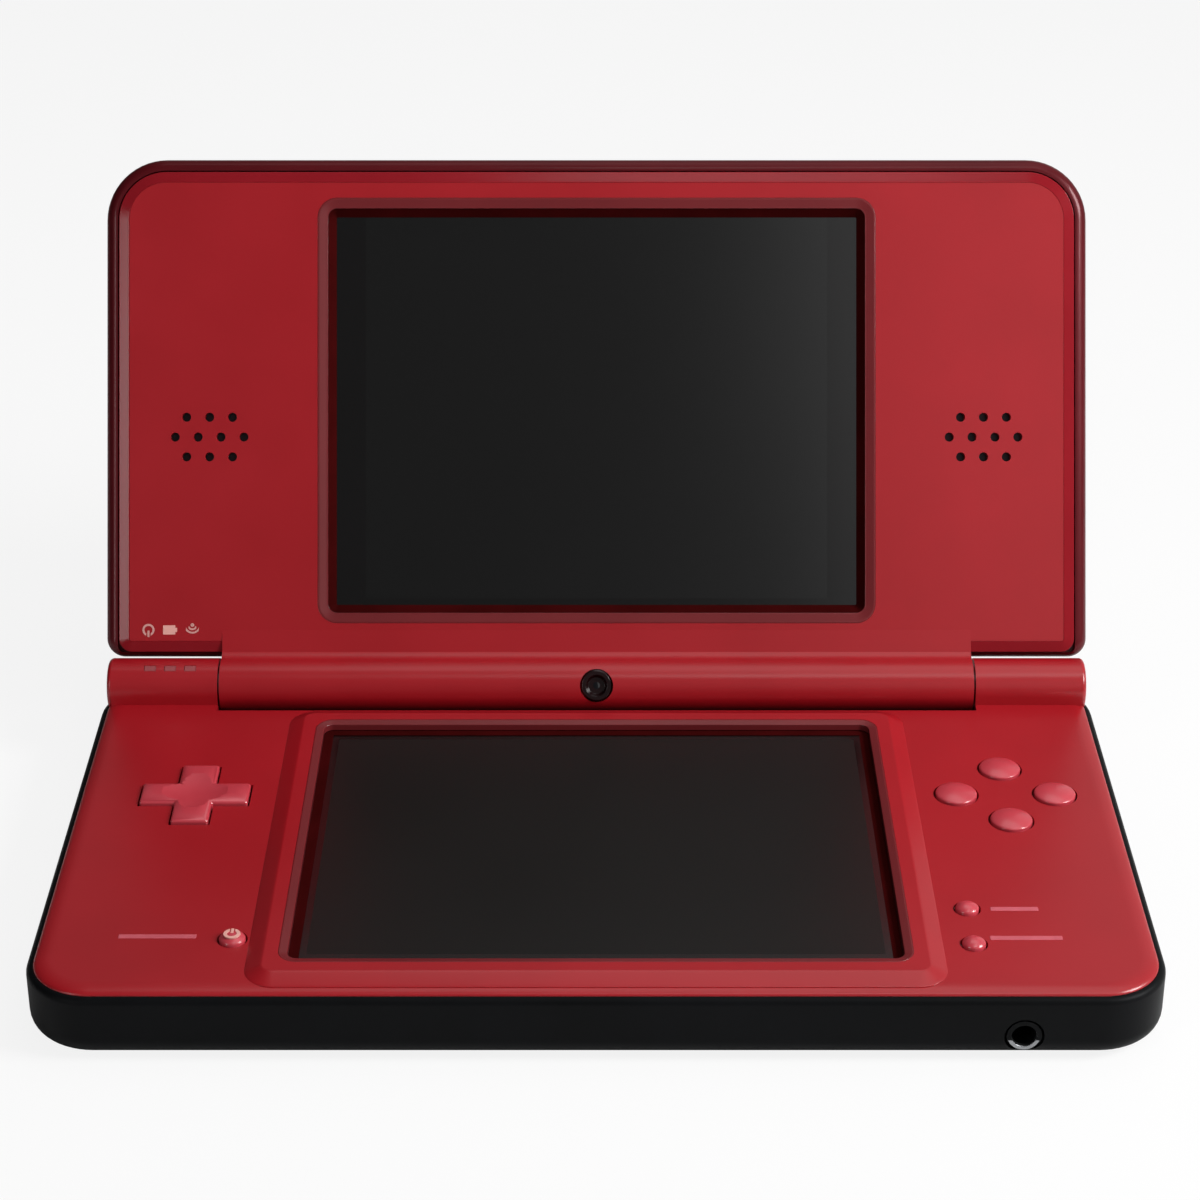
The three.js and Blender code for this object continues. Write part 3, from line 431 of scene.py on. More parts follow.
@dataclass(frozen=True)
class Softening:
    """How a piece's sharp edges are broken, in millimetres and degrees."""

    width: float = 0.2
    segments: int = 3
    angle: float = 32.0
    flat_weight: int = 80

    def apply(self, thing: Thing) -> None:
        """Bevels an object's sharp edges and keeps its flat faces flat to the eye.

        Args:
            thing: The object.
        """
        if self.width:
            bevel = thing.modifiers.new("edges", "BEVEL")
            bevel.width, bevel.segments = self.width * MM, self.segments
            bevel.limit_method, bevel.angle_limit = "ANGLE", math.radians(self.angle)
            bevel.use_clamp_overlap = True
            bevel.miter_outer = "MITER_ARC"
            bevel.harden_normals = True
        thing.data.shade_smooth()
        if not self.width:
            thing.data.set_sharp_from_angle(angle=math.radians(self.angle))
        normals = thing.modifiers.new("normals", "WEIGHTED_NORMAL")
        normals.keep_sharp, normals.weight = True, self.flat_weight
        bake(thing)


NO_SOFTENING = Softening(0.0)


# Finishes


def linear(code: str) -> tuple[float, float, float, float]:
    """Turns an sRGB hex colour into the linear colour that the shader takes."""
    shares = [int(code.lstrip("#")[i:i + 2], 16) / 255 for i in (0, 2, 4)]
    return (*(c / 12.92 if c <= 0.04045 else ((c + 0.055) / 1.055) ** 2.4 for c in shares), 1.0)


def add_node(tree: Tree, kind: str, settings: dict | None = None,
             links: dict | None = None) -> Node:
    """Adds a shader node with its settings and links.

    Args:
        tree: The material's or world's node tree.
        kind: The node's type.
        settings: Values for its sockets, by name or number, or for its own properties.
        links: The output socket that each named or numbered input takes.

    Returns:
        The node.
    """
    node = tree.nodes.new(kind)
    for key, value in (settings or {}).items():
        if isinstance(key, int) or key in node.inputs:
            node.inputs[key].default_value = value
        else:
            setattr(node, key, value)
    for key, source in (links or {}).items():
        tree.links.new(source, node.inputs[key])
    return node


def coordinates(tree: Tree, size_mm: float, stretch: tuple[float, float, float] = (1, 1, 1)) -> Socket:
    """Gets Object coordinates in units of a real size.

    Args:
        tree: The material's node tree.
        size_mm: The length that becomes one unit, in millimetres.
        stretch: How much longer the pattern is drawn along each axis.

    Returns:
        The vector socket.
    """
    source = add_node(tree, "ShaderNodeTexCoord")
    scale = tuple(1 / (size_mm * MM * s) for s in stretch)
    place = add_node(tree, "ShaderNodeMapping", {"Scale": scale}, {"Vector": source.outputs["Object"]})
    return place.outputs[0]


@dataclass(frozen=True)
class Finish:
    """A moulded plastic: two close tones that drift over it, a fine grain and an optional clear coat."""

    name: str
    slot: str
    colour: str
    shade: str
    roughness: float
    roughness_drift: float = 0.05
    drift_mm: float = 14.0
    grain_mm: float = 0.35
    grain_height_mm: float = 0.01
    metallic: float = 0.0
    ior: float = 1.5
    coat: float = 0.0
    coat_roughness: float = 0.04
    specular: float = 0.5
    relief: float = 1.0

    def material(self) -> bpy.types.Material:
        """Returns the material, made the first time it is asked for."""
        found = bpy.data.materials.get(self.name)
        return found or self.build()

    def blank(self) -> tuple[bpy.types.Material, Tree, Node]:
        """Makes a material with its shader's even values set on the shader itself.

        Returns:
            The material, its node tree and its shader.
        """
        material = bpy.data.materials.new(self.name)
        material.use_nodes = True
        tree = material.node_tree
        tree.nodes.clear()
        shader = add_node(tree, "ShaderNodeBsdfPrincipled", {
            "Metallic": self.metallic, "IOR": self.ior, "Coat Weight": self.coat,
            "Coat Roughness": self.coat_roughness, "Specular IOR Level": self.specular,
            "Base Color": linear(self.colour), "Roughness": self.roughness,
        })
        add_node(tree, "ShaderNodeOutputMaterial", None, {"Surface": shader.outputs[0]})
        material.diffuse_color = linear(self.colour)
        return material, tree, shader

    def build(self) -> bpy.types.Material:
        """Builds the drifting tone, the uneven gloss and the grain.

        Returns:
            The material.
        """
        material, tree, shader = self.blank()
        wide = coordinates(tree, self.drift_mm)
        noise = add_node(tree, "ShaderNodeTexNoise", {"Scale": 1.0, "Detail": 3.0}, {"Vector": wide})
        drift = noise.outputs[0]
        tone = add_node(tree, "ShaderNodeValToRGB", None, {0: drift})
        ends = ((0.3, self.shade), (0.7, self.colour))
        for element, (position, colour) in zip(tone.color_ramp.elements, ends):
            element.position, element.color = position, linear(colour)
        tree.links.new(tone.outputs[0], shader.inputs["Base Color"])
        low, high = self.roughness - self.roughness_drift, self.roughness + self.roughness_drift
        gloss = add_node(tree, "ShaderNodeMapRange", {3: max(low, 0.0), 4: high}, {0: drift})
        tree.links.new(gloss.outputs[0], shader.inputs["Roughness"])
        self.add_grain(tree, shader)
        return material

    def pattern(self, tree: Tree) -> Socket:
        """Returns the mould's spark-eroded grain, from 0 to 1."""
        fine = {"Vector": coordinates(tree, self.grain_mm)}
        return add_node(tree, "ShaderNodeTexNoise", {"Scale": 1.0, "Detail": 2.0}, fine).outputs[0]

    def add_grain(self, tree: Tree, shader: Node) -> None:
        """Raises the pattern to its real height.

        Args:
            tree: The material's node tree.
            shader: The shader that takes the bump.
        """
        size = {"Strength": self.relief, "Distance": self.grain_height_mm * MM}
        bump = add_node(tree, "ShaderNodeBump", size, {"Height": self.pattern(tree)})
        tree.links.new(bump.outputs[0], shader.inputs["Normal"])


@dataclass(frozen=True)
class Plated(Finish):
    """A turned and plated metal: fine rings from the lathe show as streaks across the part."""

    relief: float = 0.6
    ring_mm: float = 0.12
    streak: float = 30.0

    def pattern(self, tree: Tree) -> Socket:
        """Returns fine parallel streaks, from 0 to 1."""
        fine = {"Vector": coordinates(tree, self.ring_mm, (self.streak, 1.0, 1.0))}
        return add_node(tree, "ShaderNodeTexNoise", {"Scale": 1.0, "Detail": 4.0}, fine).outputs[0]


@dataclass(frozen=True)
class Panel(Finish):
    """A screen behind its window: picture cells too fine to see, drawn coarse enough to break the grey."""

    relief: float = 0.15
    cell_mm: float = 0.6

    def pattern(self, tree: Tree) -> Socket:
        """Returns the faint rows of the picture cells, from 0 to 1."""
        fine = {"Vector": coordinates(tree, self.cell_mm)}
        return add_node(tree, "ShaderNodeTexVoronoi", {"Scale": 1.0, "Randomness": 0.0}, fine).outputs[0]


@dataclass(frozen=True)
class Circuit(Finish):
    """A circuit board: solder mask over copper tracks, which show as a lighter net of straight cells."""

    track: str = "#2f7a50"
    track_mm: float = 2.2
    track_share: float = 0.07

    def add_grain(self, tree: Tree, shader: Node) -> None:
        """Draws the tracks over the mask's tone.

        Args:
            tree: The material's node tree.
            shader: The shader whose colour the tracks change.
        """
        net = add_node(tree, "ShaderNodeTexVoronoi", {
            "feature": "DISTANCE_TO_EDGE", "distance": "EUCLIDEAN", "Scale": 1.0, "Randomness": 0.6,
        }, {"Vector": coordinates(tree, self.track_mm)})
        below = {"operation": "LESS_THAN", 1: self.track_share}
        edge = add_node(tree, "ShaderNodeMath", below, {0: net.outputs[0]})
        base = shader.inputs["Base Color"].links[0].from_socket
        colours = {"data_type": "RGBA", 7: linear(self.track)}
        mix = add_node(tree, "ShaderNodeMix", colours, {0: edge.outputs[0], 6: base})
        tree.links.new(mix.outputs[2], shader.inputs["Base Color"])


# ABS under a wine-red pearl paint and a thin clear coat: dark and deep, with soft highlights
LID_LACQUER = Finish("wine_lacquered_abs", "red_gloss", "#5c1018", "#520d14", 0.34, 0.03, 22.0, 0.5, 0.002,
                     metallic=0.15, coat=0.15, coat_roughness=0.08, specular=0.15)
# Spark-eroded ABS in wine red: an even colour with soft, broad highlights inside the case
SATIN_RED = Finish("wine_satin_abs", "red_satin", "#a8141f", "#a1121c", 0.3, 0.03, 18.0, 0.28, 0.006,
                   specular=0.65)
# The same ABS from a polished mould: bevels round the screens catch a clearer light, and their colour is
# painted darker and duller than the satin red, which is painted shade
POLISHED_SHADED_RED = Finish("wine_polished_abs_painted_shade", "red_satin", "#762529", "#6f2226", 0.24, 0.02, 18.0, 0.6, 0.002)
# Polished edge of the lid's bezel: it turns light where it faces a lamp and dark where it doesn't, and its
# colour is painted darker than the bezel's satin red, which is painted shade
EDGE_SHADED_RED = Finish("wine_polished_edge_abs_painted_shade", "red_satin", "#901a24", "#881720", 0.13, 0.01, 18.0, 0.6, 0.002,
                  specular=0.18)
# Glossy moulded keys: their colour is painted a lighter red than the case, a painted highlight for the shine
# on their domes
KEY_HIGHLIGHT_RED = Finish("wine_key_abs_painted_highlight", "red_keys", "#cc4450", "#c03c48", 0.24, 0.03, 6.0, 0.4, 0.003, specular=0.9)
# Fine-grained black polycarbonate: a faint grey sheen on the bottom case
CASE_BLACK = Finish("black_grained_polycarbonate", "black_plastic", "#0d0e10", "#0a0b0c", 0.46, 0.05, 12.0,
                    0.3, 0.012, specular=0.08)
# Polished black polycarbonate on the shoulder keys and the rocker: sharp reflections
GLOSS_BLACK = Finish("black_polished_polycarbonate", "black_gloss", "#0d0e10", "#0a0b0c", 0.16, 0.03, 10.0,
                     0.6, 0.002)
# Ink printed behind the screen's window: almost black, as glossy as the window
MASK_BLACK = Finish("black_ink_behind_window", "screen_window", "#050304", "#040303", 0.17, 0.02, 30.0,
                    0.8, 0.001, specular=0.9)
# Painted shade: deep red-black on the wall of the upper screen's well and on the touch panel's edge, where
# the wells fall into shade
PAINTED_SHADE_RED = Finish("painted_shade_dark_red", "black_plastic", "#3e0a0b", "#340808", 0.7, 0.04, 8.0, 0.3, 0.004,
                   specular=0.0)
# A switched-off liquid crystal panel behind its hard-coated window: black, and grey where it mirrors the room
PANEL_GREY = Panel("switched_off_panel_behind_window", "screen_window", "#060606", "#050505", 0.18,
                   0.02, 40.0, specular=1.0)
# The touch panel's resistive film over the lower screen: lighter and more milky than the window
TOUCH_GREY = Panel("touch_film_over_panel", "screen_window", "#151514", "#121211", 0.36, 0.03, 40.0,
                   specular=0.35)
# Coated camera window: black with a faint blue cast
CAMERA_GLASS = Finish("coated_camera_glass", "camera_black", "#07090f", "#05060a", 0.05, 0.01, 10.0, 1.0,
                      0.0005, coat=0.6)
# Dark tinted ring round the inner camera: wine-black, so the eye reads one dark dot
CAMERA_RING = Finish("tinted_camera_ring", "camera_black", "#1c0709", "#160507", 0.22, 0.03, 4.0, 0.4, 0.001)
# Zinc-plated steel on screws and the connector's can: grey with lathe streaks
PLATED_STEEL = Plated("zinc_plated_steel", "steel", "#a7a9ac", "#8e9093", 0.34, 0.06, 3.0, 0.3, 0.004,
                      metallic=1.0)
# Moulded elastomer feet: flat black without highlights
FOOT_RUBBER = Finish("elastomer_foot", "foot_rubber", "#232324", "#1c1c1d", 0.82, 0.05, 4.0, 0.3, 0.02,
                     specular=0.3)
# Silicone key mats: dull grey
MAT_RUBBER = Finish("silicone_key_mat", "contact_rubber", "#7c7d80", "#727376", 0.7, 0.05, 6.0, 0.4, 0.01)
# Shrink film on the battery: smooth grey with a slight sheen
BATTERY_FILM = Finish("battery_shrink_film", "battery_wrap", "#55585c", "#4c4f53", 0.4, 0.06, 9.0, 1.2, 0.01)
# Tinned frame of the screens: dull metal grey
MODULE_GREY = Plated("tinned_module_frame", "display_panel", "#4a4b50", "#3f4045", 0.45, 0.05, 8.0, 0.3,
                     0.003, metallic=0.7)
# Green solder mask on the main board
BOARD_GREEN = Circuit("solder_mask_on_copper", "circuit_board", "#1a5236", "#16472f", 0.4, 0.05, 5.0)
# Milky polycarbonate light pipe, unlit: takes the red of the case around it
LIGHT_PIPE = Finish("milky_light_pipe", "light_pipe", "#a04a4e", "#964347", 0.3, 0.03, 3.0, 0.5, 0.002)
# Pad-printed pale ink: matte and slightly raised
PALE_INK = Finish("pale_pad_printed_ink", "light_pipe", "#d9a09a", "#cf948e", 0.5, 0.04, 2.0, 0.2, 0.003)
# Brighter dab of the same ink on the lid's middle sign and on the power button, where its size and brightness
# also make the button's painted highlight
BRIGHT_INK_AND_HIGHLIGHT = Finish("bright_printed_ink_and_painted_highlight", "light_pipe", "#f2b3a8", "#e7a89d", 0.5, 0.04, 2.0, 0.2, 0.003)
# The same ink at the labels beside the small buttons, which read dimmer
DIM_INK = Finish("dim_pad_printed_ink", "light_pipe", "#d0606c", "#c65763", 0.5, 0.04, 2.0, 0.2, 0.003)


# Making pieces


@dataclass(frozen=True)
class Bench:
    """Turns meshes drawn in the closed layout into finished pieces in the row frame."""

    placement: Placement
    nodes: dict[str, Thing]
    picture_floor: float = 0.3
    picture_gap: float = 0.01
    picture_sink: float = 0.005

    def piece(self, mesh: Mesh, name: str, body: str, finish: Finish, stands_for: Sequence[str] = (),
              softening: Softening = Softening()) -> None:
        """Makes one piece from a mesh drawn in millimetres in the layout of its body.

        Args:
            mesh: The mesh.
            name: The piece's name.
            body: The body that carries it.
            finish: Its material.
            stands_for: The CAD nodes that it is shown for.
            softening: How its edges are broken.
        """
        if softening.width:
            bmesh.ops.remove_doubles(mesh, verts=mesh.verts, dist=TINY)
        matrix = self.placement.lid() if body == "lid" else self.placement.base()
        bmesh.ops.transform(mesh, matrix=matrix, verts=mesh.verts)
        self.finished(mesh, name, body, finish, stands_for, softening)

    def softened(self, node: str, suffix: str, body: str, finish: Finish, softening: Softening) -> None:
        """Shows a copy of a CAD node with its edges broken.

        Args:
            node: The CAD node.
            suffix: What its name gets added for the piece.
            body: The body that carries it.
            finish: Its material.
            softening: How its edges are broken.
        """
        mesh = bmesh.new()
        mesh.from_mesh(self.nodes[node].data)
        bmesh.ops.remove_doubles(mesh, verts=mesh.verts, dist=TINY * MM)
        flat = math.radians(NODE_FLAT_DEGREES)
        bmesh.ops.dissolve_limit(mesh, angle_limit=flat, verts=mesh.verts, edges=mesh.edges)
        self.finished(mesh, f"{node}_{suffix}", body, finish, [node], softening)

    def finished(self, mesh: Mesh, name: str, body: str, finish: Finish, stands_for: Sequence[str],
                 softening: Softening) -> None:
        """Puts a mesh in the row frame into the scene as a dressed piece.

        Args:
            mesh: The mesh, in metres.
            name: The piece's name.
            body: The body that carries it.
            finish: Its material.
            stands_for: The CAD nodes that it is shown for.
            softening: How its edges are broken.
        """
        bmesh.ops.recalc_face_normals(mesh, faces=mesh.faces)
        thing = as_object(mesh, name)
        softening.apply(thing)
        thing.data.materials.clear()
        thing.data.materials.append(finish.material())
        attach(thing, body)
        if stands_for:
            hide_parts(*stands_for)

    def window(self, names: tuple[str, str], body: str, node: str, finish: Finish,
               outlines: tuple[Outline, Outline], heights: tuple[float, float]) -> None:
        """Builds a screen's window: a printed black mask round a picture area just behind its face.

        Args:
            names: The mask's name and the picture area's.
            body: The body that carries them.
            node: The CAD node that they are shown for.
            finish: The picture area's material.
            outlines: The recess that the window lies behind, and the picture area.
            heights: The window's face and its back.
        """
        (recess, picture), (face, back) = outlines, heights
        way = math.copysign(1.0, back - face)
        whole = prism(recess.grown(WINDOW_LAP), *sorted(heights))
        hole = prism(picture, *sorted((face - way * OVERRUN, back - way * self.picture_floor)))
        floor = self.picture_floor + self.picture_gap
        area = sorted((face + way * self.picture_sink, back - way * floor))
        self.piece(cut(whole, hole), names[0], body, MASK_BLACK, [node], NO_SOFTENING)
        self.piece(prism(picture, *area), names[1], body, finish, [node], NO_SOFTENING)


@dataclass(frozen=True)
class PowerSign:
    """The generic power sign: a ring that is open at the top, with a stroke in the opening."""

    radius: float = 1.0
    hole: float = 0.66
    opening: float = 0.35
    half_stroke: float = 0.17
    foot: float = 0.1
    reach: float = 1.15

    def draw(self, x: float, y: float, low: float, high: float) -> Mesh:
        """Draws the sign as a thin print.

        Args:
            x: The x of its middle.
            y: The y of its middle.
            low: The height of its underside.
            high: The height of its face.

        Returns:
            The ring and the stroke.
        """
        under, over, centre = low - OVERRUN, high + OVERRUN, (x, y)
        gap = box(x - self.opening, x + self.opening, y, y + self.radius + OVERRUN, under, over)
        ring = cut(disc(self.radius, low, high, centre), disc(self.hole, under, over, centre), gap)
        stroke = box(x - self.half_stroke, x + self.half_stroke, y + self.foot, y + self.reach, low, high)
        return gathered([ring, stroke])


# Lid


@dataclass(frozen=True)
class Lid:
    """The lid: lacquered cover, satin inner bezel with the hinge barrel, screen, cameras and marks."""

    bench: Bench
    play: float = 0.1
    # Cover
    rim_low: float = 0.7
    top: float = 8.6
    under_skin: float = 7.1
    upper_edge: float = 2.6
    rim_round: float = 1.9
    rim: float = 2.0
    back_radius: float = 3.0
    notch_front: float = -10.0
    notch_top: float = 4.3
    # Inner bezel with its speaker grilles
    bezel_inset: float = 2.2
    bezel_back_inset: float = 0.8
    bezel_back_radius: float = 2.2
    bezel_top: float = 1.9
    bezel_chamfer: float = 1.8
    bezel_drop: float = 0.4
    edge_stop: float = -12.0
    speaker: tuple[float, float] = (63.4, -40.6)
    grille_rows: tuple[tuple[int, int], ...] = ((-1, 3), (0, 4), (1, 3))
    grille_pitch: float = 3.75
    hole_radius: float = 0.75
    # Hinge barrel, and the web that bridges it to the bezel
    fillet: float = 2.5
    web_front: float = -9.0
    web_top: float = 3.7
    clutch_radius: float = 2.9
    clutch_x: float = 53.0
    # Screen
    recess: Outline = Outline(-44.0, 44.0, -78.1, -11.8, 1.5, 1.5)
    border: float = 1.7
    border_land: float = 0.3
    border_foot: float = 0.2
    border_depth: float = 0.25
    # Wall of the screen's well, painted deep red-black as painted shade: where it starts, its thickness, its
    # foot and how far in it reaches
    shade_drop: float = 0.15
    shade_wall: float = 0.1
    shade_foot: float = 0.05
    shade_reach: float = 1.3
    glass_face: float = 2.0
    glass_back: float = 2.9
    picture: Outline = Outline(-37.9, 37.9, -77.3, -14.2, 0.4, 0.4)
    # Inner camera in the barrel: its ring's funnel, and its lens
    camera_radius: float = 2.7
    camera_face: float = -4.05
    camera_floor: float = -1.0
    ring_radius: float = 2.6
    ring_back: float = -1.2
    ring_edge: float = 0.25
    funnel: tuple[float, float, float] = (1.75, 1.35, 0.7)
    lens_radius: float = 1.3
    lens_sink: float = 0.65
    lens_dome: float = 0.5
    lens_back: float = 1.5
    # Outer camera in the cover: its place, its trim and the opening behind it
    outer_camera: tuple[float, float] = (68.0, -76.0)
    outer_radius: float = 3.6
    outer_hole: float = 2.7
    outer_aperture: float = 2.2
    pocket_depth: float = 0.9
    trim_depth: float = 0.7
    trim_edge: float = 0.15
    trim_slope: float = 0.25
    # Printed signs: where they stand, the battery's cell and nub, and the waves
    sign_x: tuple[float, float, float] = (-73.4, -69.9, -66.2)
    sign_y: float = -9.0
    ink: float = 0.03
    cell: tuple[float, float, float] = (-1.1, 0.9, 0.75)
    nub: tuple[float, float] = (1.2, 0.35)
    wave_radii: tuple[float, float] = (0.85, 1.4)
    wave_stroke: float = 0.3
    wave_root: float = -0.8
    wave_low: float = -0.6
    wave_spread: float = 0.75

    def piece(self, mesh: Mesh, name: str, finish: Finish, stands_for: Sequence[str] = (),
              softening: Softening = NO_SOFTENING) -> None:
        """Makes a piece that the lid carries, sharp-edged unless it is told otherwise."""
        self.bench.piece(mesh, name, "lid", finish, stands_for, softening)

    def outline(self) -> Outline:
        """Returns the lid's outline from above."""
        return symmetric(LAYOUT.half_width, LAYOUT.lid_front, LAYOUT.lid_back, LAYOUT.corner_radius,
                         self.back_radius)

    def plate_outline(self) -> Outline:
        """Returns the inner bezel's outline."""
        inset = self.bezel_inset
        return symmetric(LAYOUT.half_width - inset, LAYOUT.lid_front + inset,
                         LAYOUT.lid_back - self.bezel_back_inset, LAYOUT.corner_radius - inset,
                         self.bezel_back_radius)

    def cover(self) -> None:
        """Builds the lacquered cover with its wide upper edge and its rolled rim."""
        outline, play, top = self.outline(), self.play, self.top
        rings = rounding_below(self.rim_round, self.rim_round, 6, self.rim_low)
        rings += rounding(self.upper_edge, self.upper_edge, 10, top)
        hollow = prism(outline, self.rim_low - OVERRUN, self.under_skin, self.rim)
        seat = replace(outline.grown(-self.rim), back=self.plate_outline().back + play)
        notch = box(-LAYOUT.knuckle_x, LAYOUT.knuckle_x, self.notch_front, LAYOUT.lid_back + OVERRUN,
                    -OVERRUN, self.notch_top)
        pocket = disc(self.outer_radius + play, top - self.pocket_depth, top + OVERRUN, self.outer_camera)
        aperture = disc(self.outer_aperture, self.under_skin - OVERRUN, top, self.outer_camera)
        body = cut(loft(outline, rings), hollow, prism(seat, -OVERRUN, self.bezel_top + play), notch, pocket,
                   aperture)
        self.piece(body, "lid_cover_lacquered", LID_LACQUER, ["lid_outer_shell"], Softening(0.12, 2))

    def grille_holes(self) -> Mesh:
        """Builds the holes of both speaker grilles.

        Returns:
            The holes as upright bars through the bezel.
        """
        row_pitch = self.grille_pitch * math.sin(math.pi / 3)
        centres = [(side * self.speaker[0] + (i - (count - 1) / 2) * self.grille_pitch,
                    self.speaker[1] + row * row_pitch)
                   for side in (-1, 1) for row, count in self.grille_rows for i in range(count)]
        high = self.bezel_top + OVERRUN
        return gathered(disc(self.hole_radius, -OVERRUN, high, centre, FACETS // 2) for centre in centres)

    def barrel(self) -> Mesh:
        """Builds the hinge barrel with its web, filleted so that the one runs into the other.

        Returns:
            The solid, extruded from one outline.
        """
        radius, face, fillet, parts = LAYOUT.barrel_radius, LAYOUT.lid_face, self.fillet, 8
        reach = math.sqrt((radius + fillet) ** 2 - (face - fillet) ** 2)
        end = math.atan2(fillet - face, reach)
        turns = [math.pi / 2 - (math.pi / 2 - end) * i / parts for i in range(parts + 1)]
        curve = [(-reach + fillet * math.cos(a), face - fillet + fillet * math.sin(a)) for a in turns]
        first, parts = math.atan2(face - fillet, -reach), 76
        last = math.pi / 2 + math.acos(self.web_top / radius)
        arc = [first + (last - first) * i / parts for i in range(1, parts + 1)]
        round_part = [(radius * math.cos(a), radius * math.sin(a)) for a in arc]
        corners = [(self.web_front, self.web_top), (self.web_front, face), *curve, *round_part]
        return extruded(corners, -LAYOUT.barrel_x, LAYOUT.barrel_x)

    def bezel(self) -> None:
        """Builds the inner bezel with the place of the screen, the grilles and the hinge barrel."""
        plate = prism(self.plate_outline(), LAYOUT.lid_face, self.bezel_top, self.bezel_chamfer)
        opening = prism(self.recess.grown(self.border), -OVERRUN, self.bezel_top + OVERRUN)
        plate = cut(plate, opening, self.grille_holes())
        middle = (0.0, 0.0)
        camera_hole = disc(self.camera_radius, -LAYOUT.barrel_radius - OVERRUN, self.camera_floor, middle)
        reach = LAYOUT.barrel_x + OVERRUN
        bores = [bar(self.clutch_radius, *sorted((side * self.clutch_x, side * reach)), middle, Axis.X)
                 for side in (-1, 1)]
        whole = cut(join(plate, self.barrel()), camera_hole, *bores)
        self.piece(whole, "lid_bezel_satin", SATIN_RED, ["lid_inner_bezel"], Softening(0.12, 3, 18.0))

    def border_ring(self) -> None:
        """Builds the polished border that slopes in to the screen, in a red painted darker than the bezel's:
        painted shade.
        """
        low, high, run = LAYOUT.lid_face, self.bezel_top, self.border - self.border_land
        ring = prism(self.recess.grown(self.border - TINY), low, high)
        slope = [(0.0, low - SAME_POINT), (run - self.border_foot, low + self.border_depth)]
        ring = cut(ring, loft(self.recess.grown(run), slope), prism(self.recess, -OVERRUN, high + OVERRUN))
        self.piece(ring, "upper_border_polished_painted_shade", POLISHED_SHADED_RED, ["lid_inner_bezel"], Softening(0.08, 3, 8.0))

    def edge_ring(self) -> None:
        """Builds the polished edge of the inner bezel, which slopes away to the cover's rim, in a red painted
        darker than the bezel's: painted shade.
        """
        face, high, outline = LAYOUT.lid_face, self.bezel_top + OVERRUN, self.plate_outline()
        rings = [(self.bezel_chamfer, face), (0.0, face + self.bezel_drop), (0.0, self.bezel_top)]
        inside = prism(outline, -OVERRUN, high, self.bezel_chamfer - TINY)
        across = box(-LAYOUT.barrel_x, LAYOUT.barrel_x, self.edge_stop, 0.0, -OVERRUN, high)
        ring = cut(loft(outline, rings), inside, across)
        self.piece(ring, "lid_edge_polished_painted_shade", EDGE_SHADED_RED, ["lid_inner_bezel"], Softening(0.1, 3, 8.0))

    def screen(self) -> None:
        """Builds the wall that slopes down to the screen, painted deep red-black as painted shade, and the
        screen's window.
        """
        top, wall = LAYOUT.lid_face + self.border_depth + self.shade_drop, self.shade_wall
        glass = self.glass_face
        inside = loft(self.recess, [(wall, top - OVERRUN), (wall, top + wall),
                                    (self.shade_reach, glass - self.shade_foot), (self.shade_reach, glass + OVERRUN)])
        # Painted shade: the well's wall is coloured deep red-black
        shade_lining = cut(prism(self.recess, top, glass), inside)
        self.piece(shade_lining, "upper_window_wall_painted_shade", PAINTED_SHADE_RED, ["upper_screen_window"])
        self.bench.window(("upper_window_mask", "upper_picture_area"), "lid", "upper_screen_window",
                          PANEL_GREY, (self.recess, self.picture), (glass, self.glass_back))

    def marks(self) -> None:
        """Prints the three small signs beside the hinge: power, battery and radio waves."""
        y, low, high = self.sign_y, LAYOUT.lid_face - self.ink, LAYOUT.lid_face + self.ink
        power_x, battery_x, waves_x = self.sign_x
        (left, right, half), (tip, nub_half) = self.cell, self.nub
        battery = [box(battery_x + left, battery_x + right, y - half, y + half, low, high),
                   box(battery_x + right, battery_x + tip, y - nub_half, y + nub_half, low, high)]
        root = (waves_x, y + self.wave_root)
        waves = [disc(self.wave_stroke, low, high, root)]
        for radius in self.wave_radii:
            half = radius * self.wave_spread
            inside = disc(radius - self.wave_stroke, -OVERRUN, OVERRUN, root)
            band = cut(disc(radius, low, high, root), inside)
            upper = box(waves_x - half, waves_x + half, y + self.wave_low, y + OVERRUN, -OVERRUN, OVERRUN)
            waves.append(combined(band, upper, Operation.KEEP))
        self.piece(PowerSign().draw(power_x, y, low, high), "sign_power", PALE_INK)
        self.piece(gathered(battery), "sign_battery", BRIGHT_INK_AND_HIGHLIGHT)
        self.piece(gathered(waves), "sign_waves", PALE_INK)

    def inner_camera(self) -> None:
        """Builds the small camera in the barrel: a ring with a funnel round a domed lens."""
        face, back, edge, radius = self.camera_face, self.ring_back, self.ring_edge, self.ring_radius
        mouth, throat, depth = self.funnel
        profile = [(0.0, back), (radius, back), (radius, face + edge), (radius - edge, face), (mouth, face),
                   (throat, face + depth), (0.0, face + depth)]
        rim, end, parts = face + self.lens_sink + self.lens_dome, face + self.lens_back, 8
        dome = [(self.lens_radius * math.sin(a), rim - self.lens_dome * math.cos(a))
                for a in (math.pi / 2 * i / parts for i in range(parts, -1, -1))]
        ring = turned(profile, (0.0, 0.0, 0.0))
        lens = turned([(0.0, end), (self.lens_radius, end), *dome], (0.0, 0.0, 0.0))
        self.piece(ring, "inner_camera_ring", CAMERA_RING, ["inner_camera_module"], Softening(0.06, 2))
        self.piece(lens, "inner_camera_lens", CAMERA_GLASS, ["inner_camera_module"])

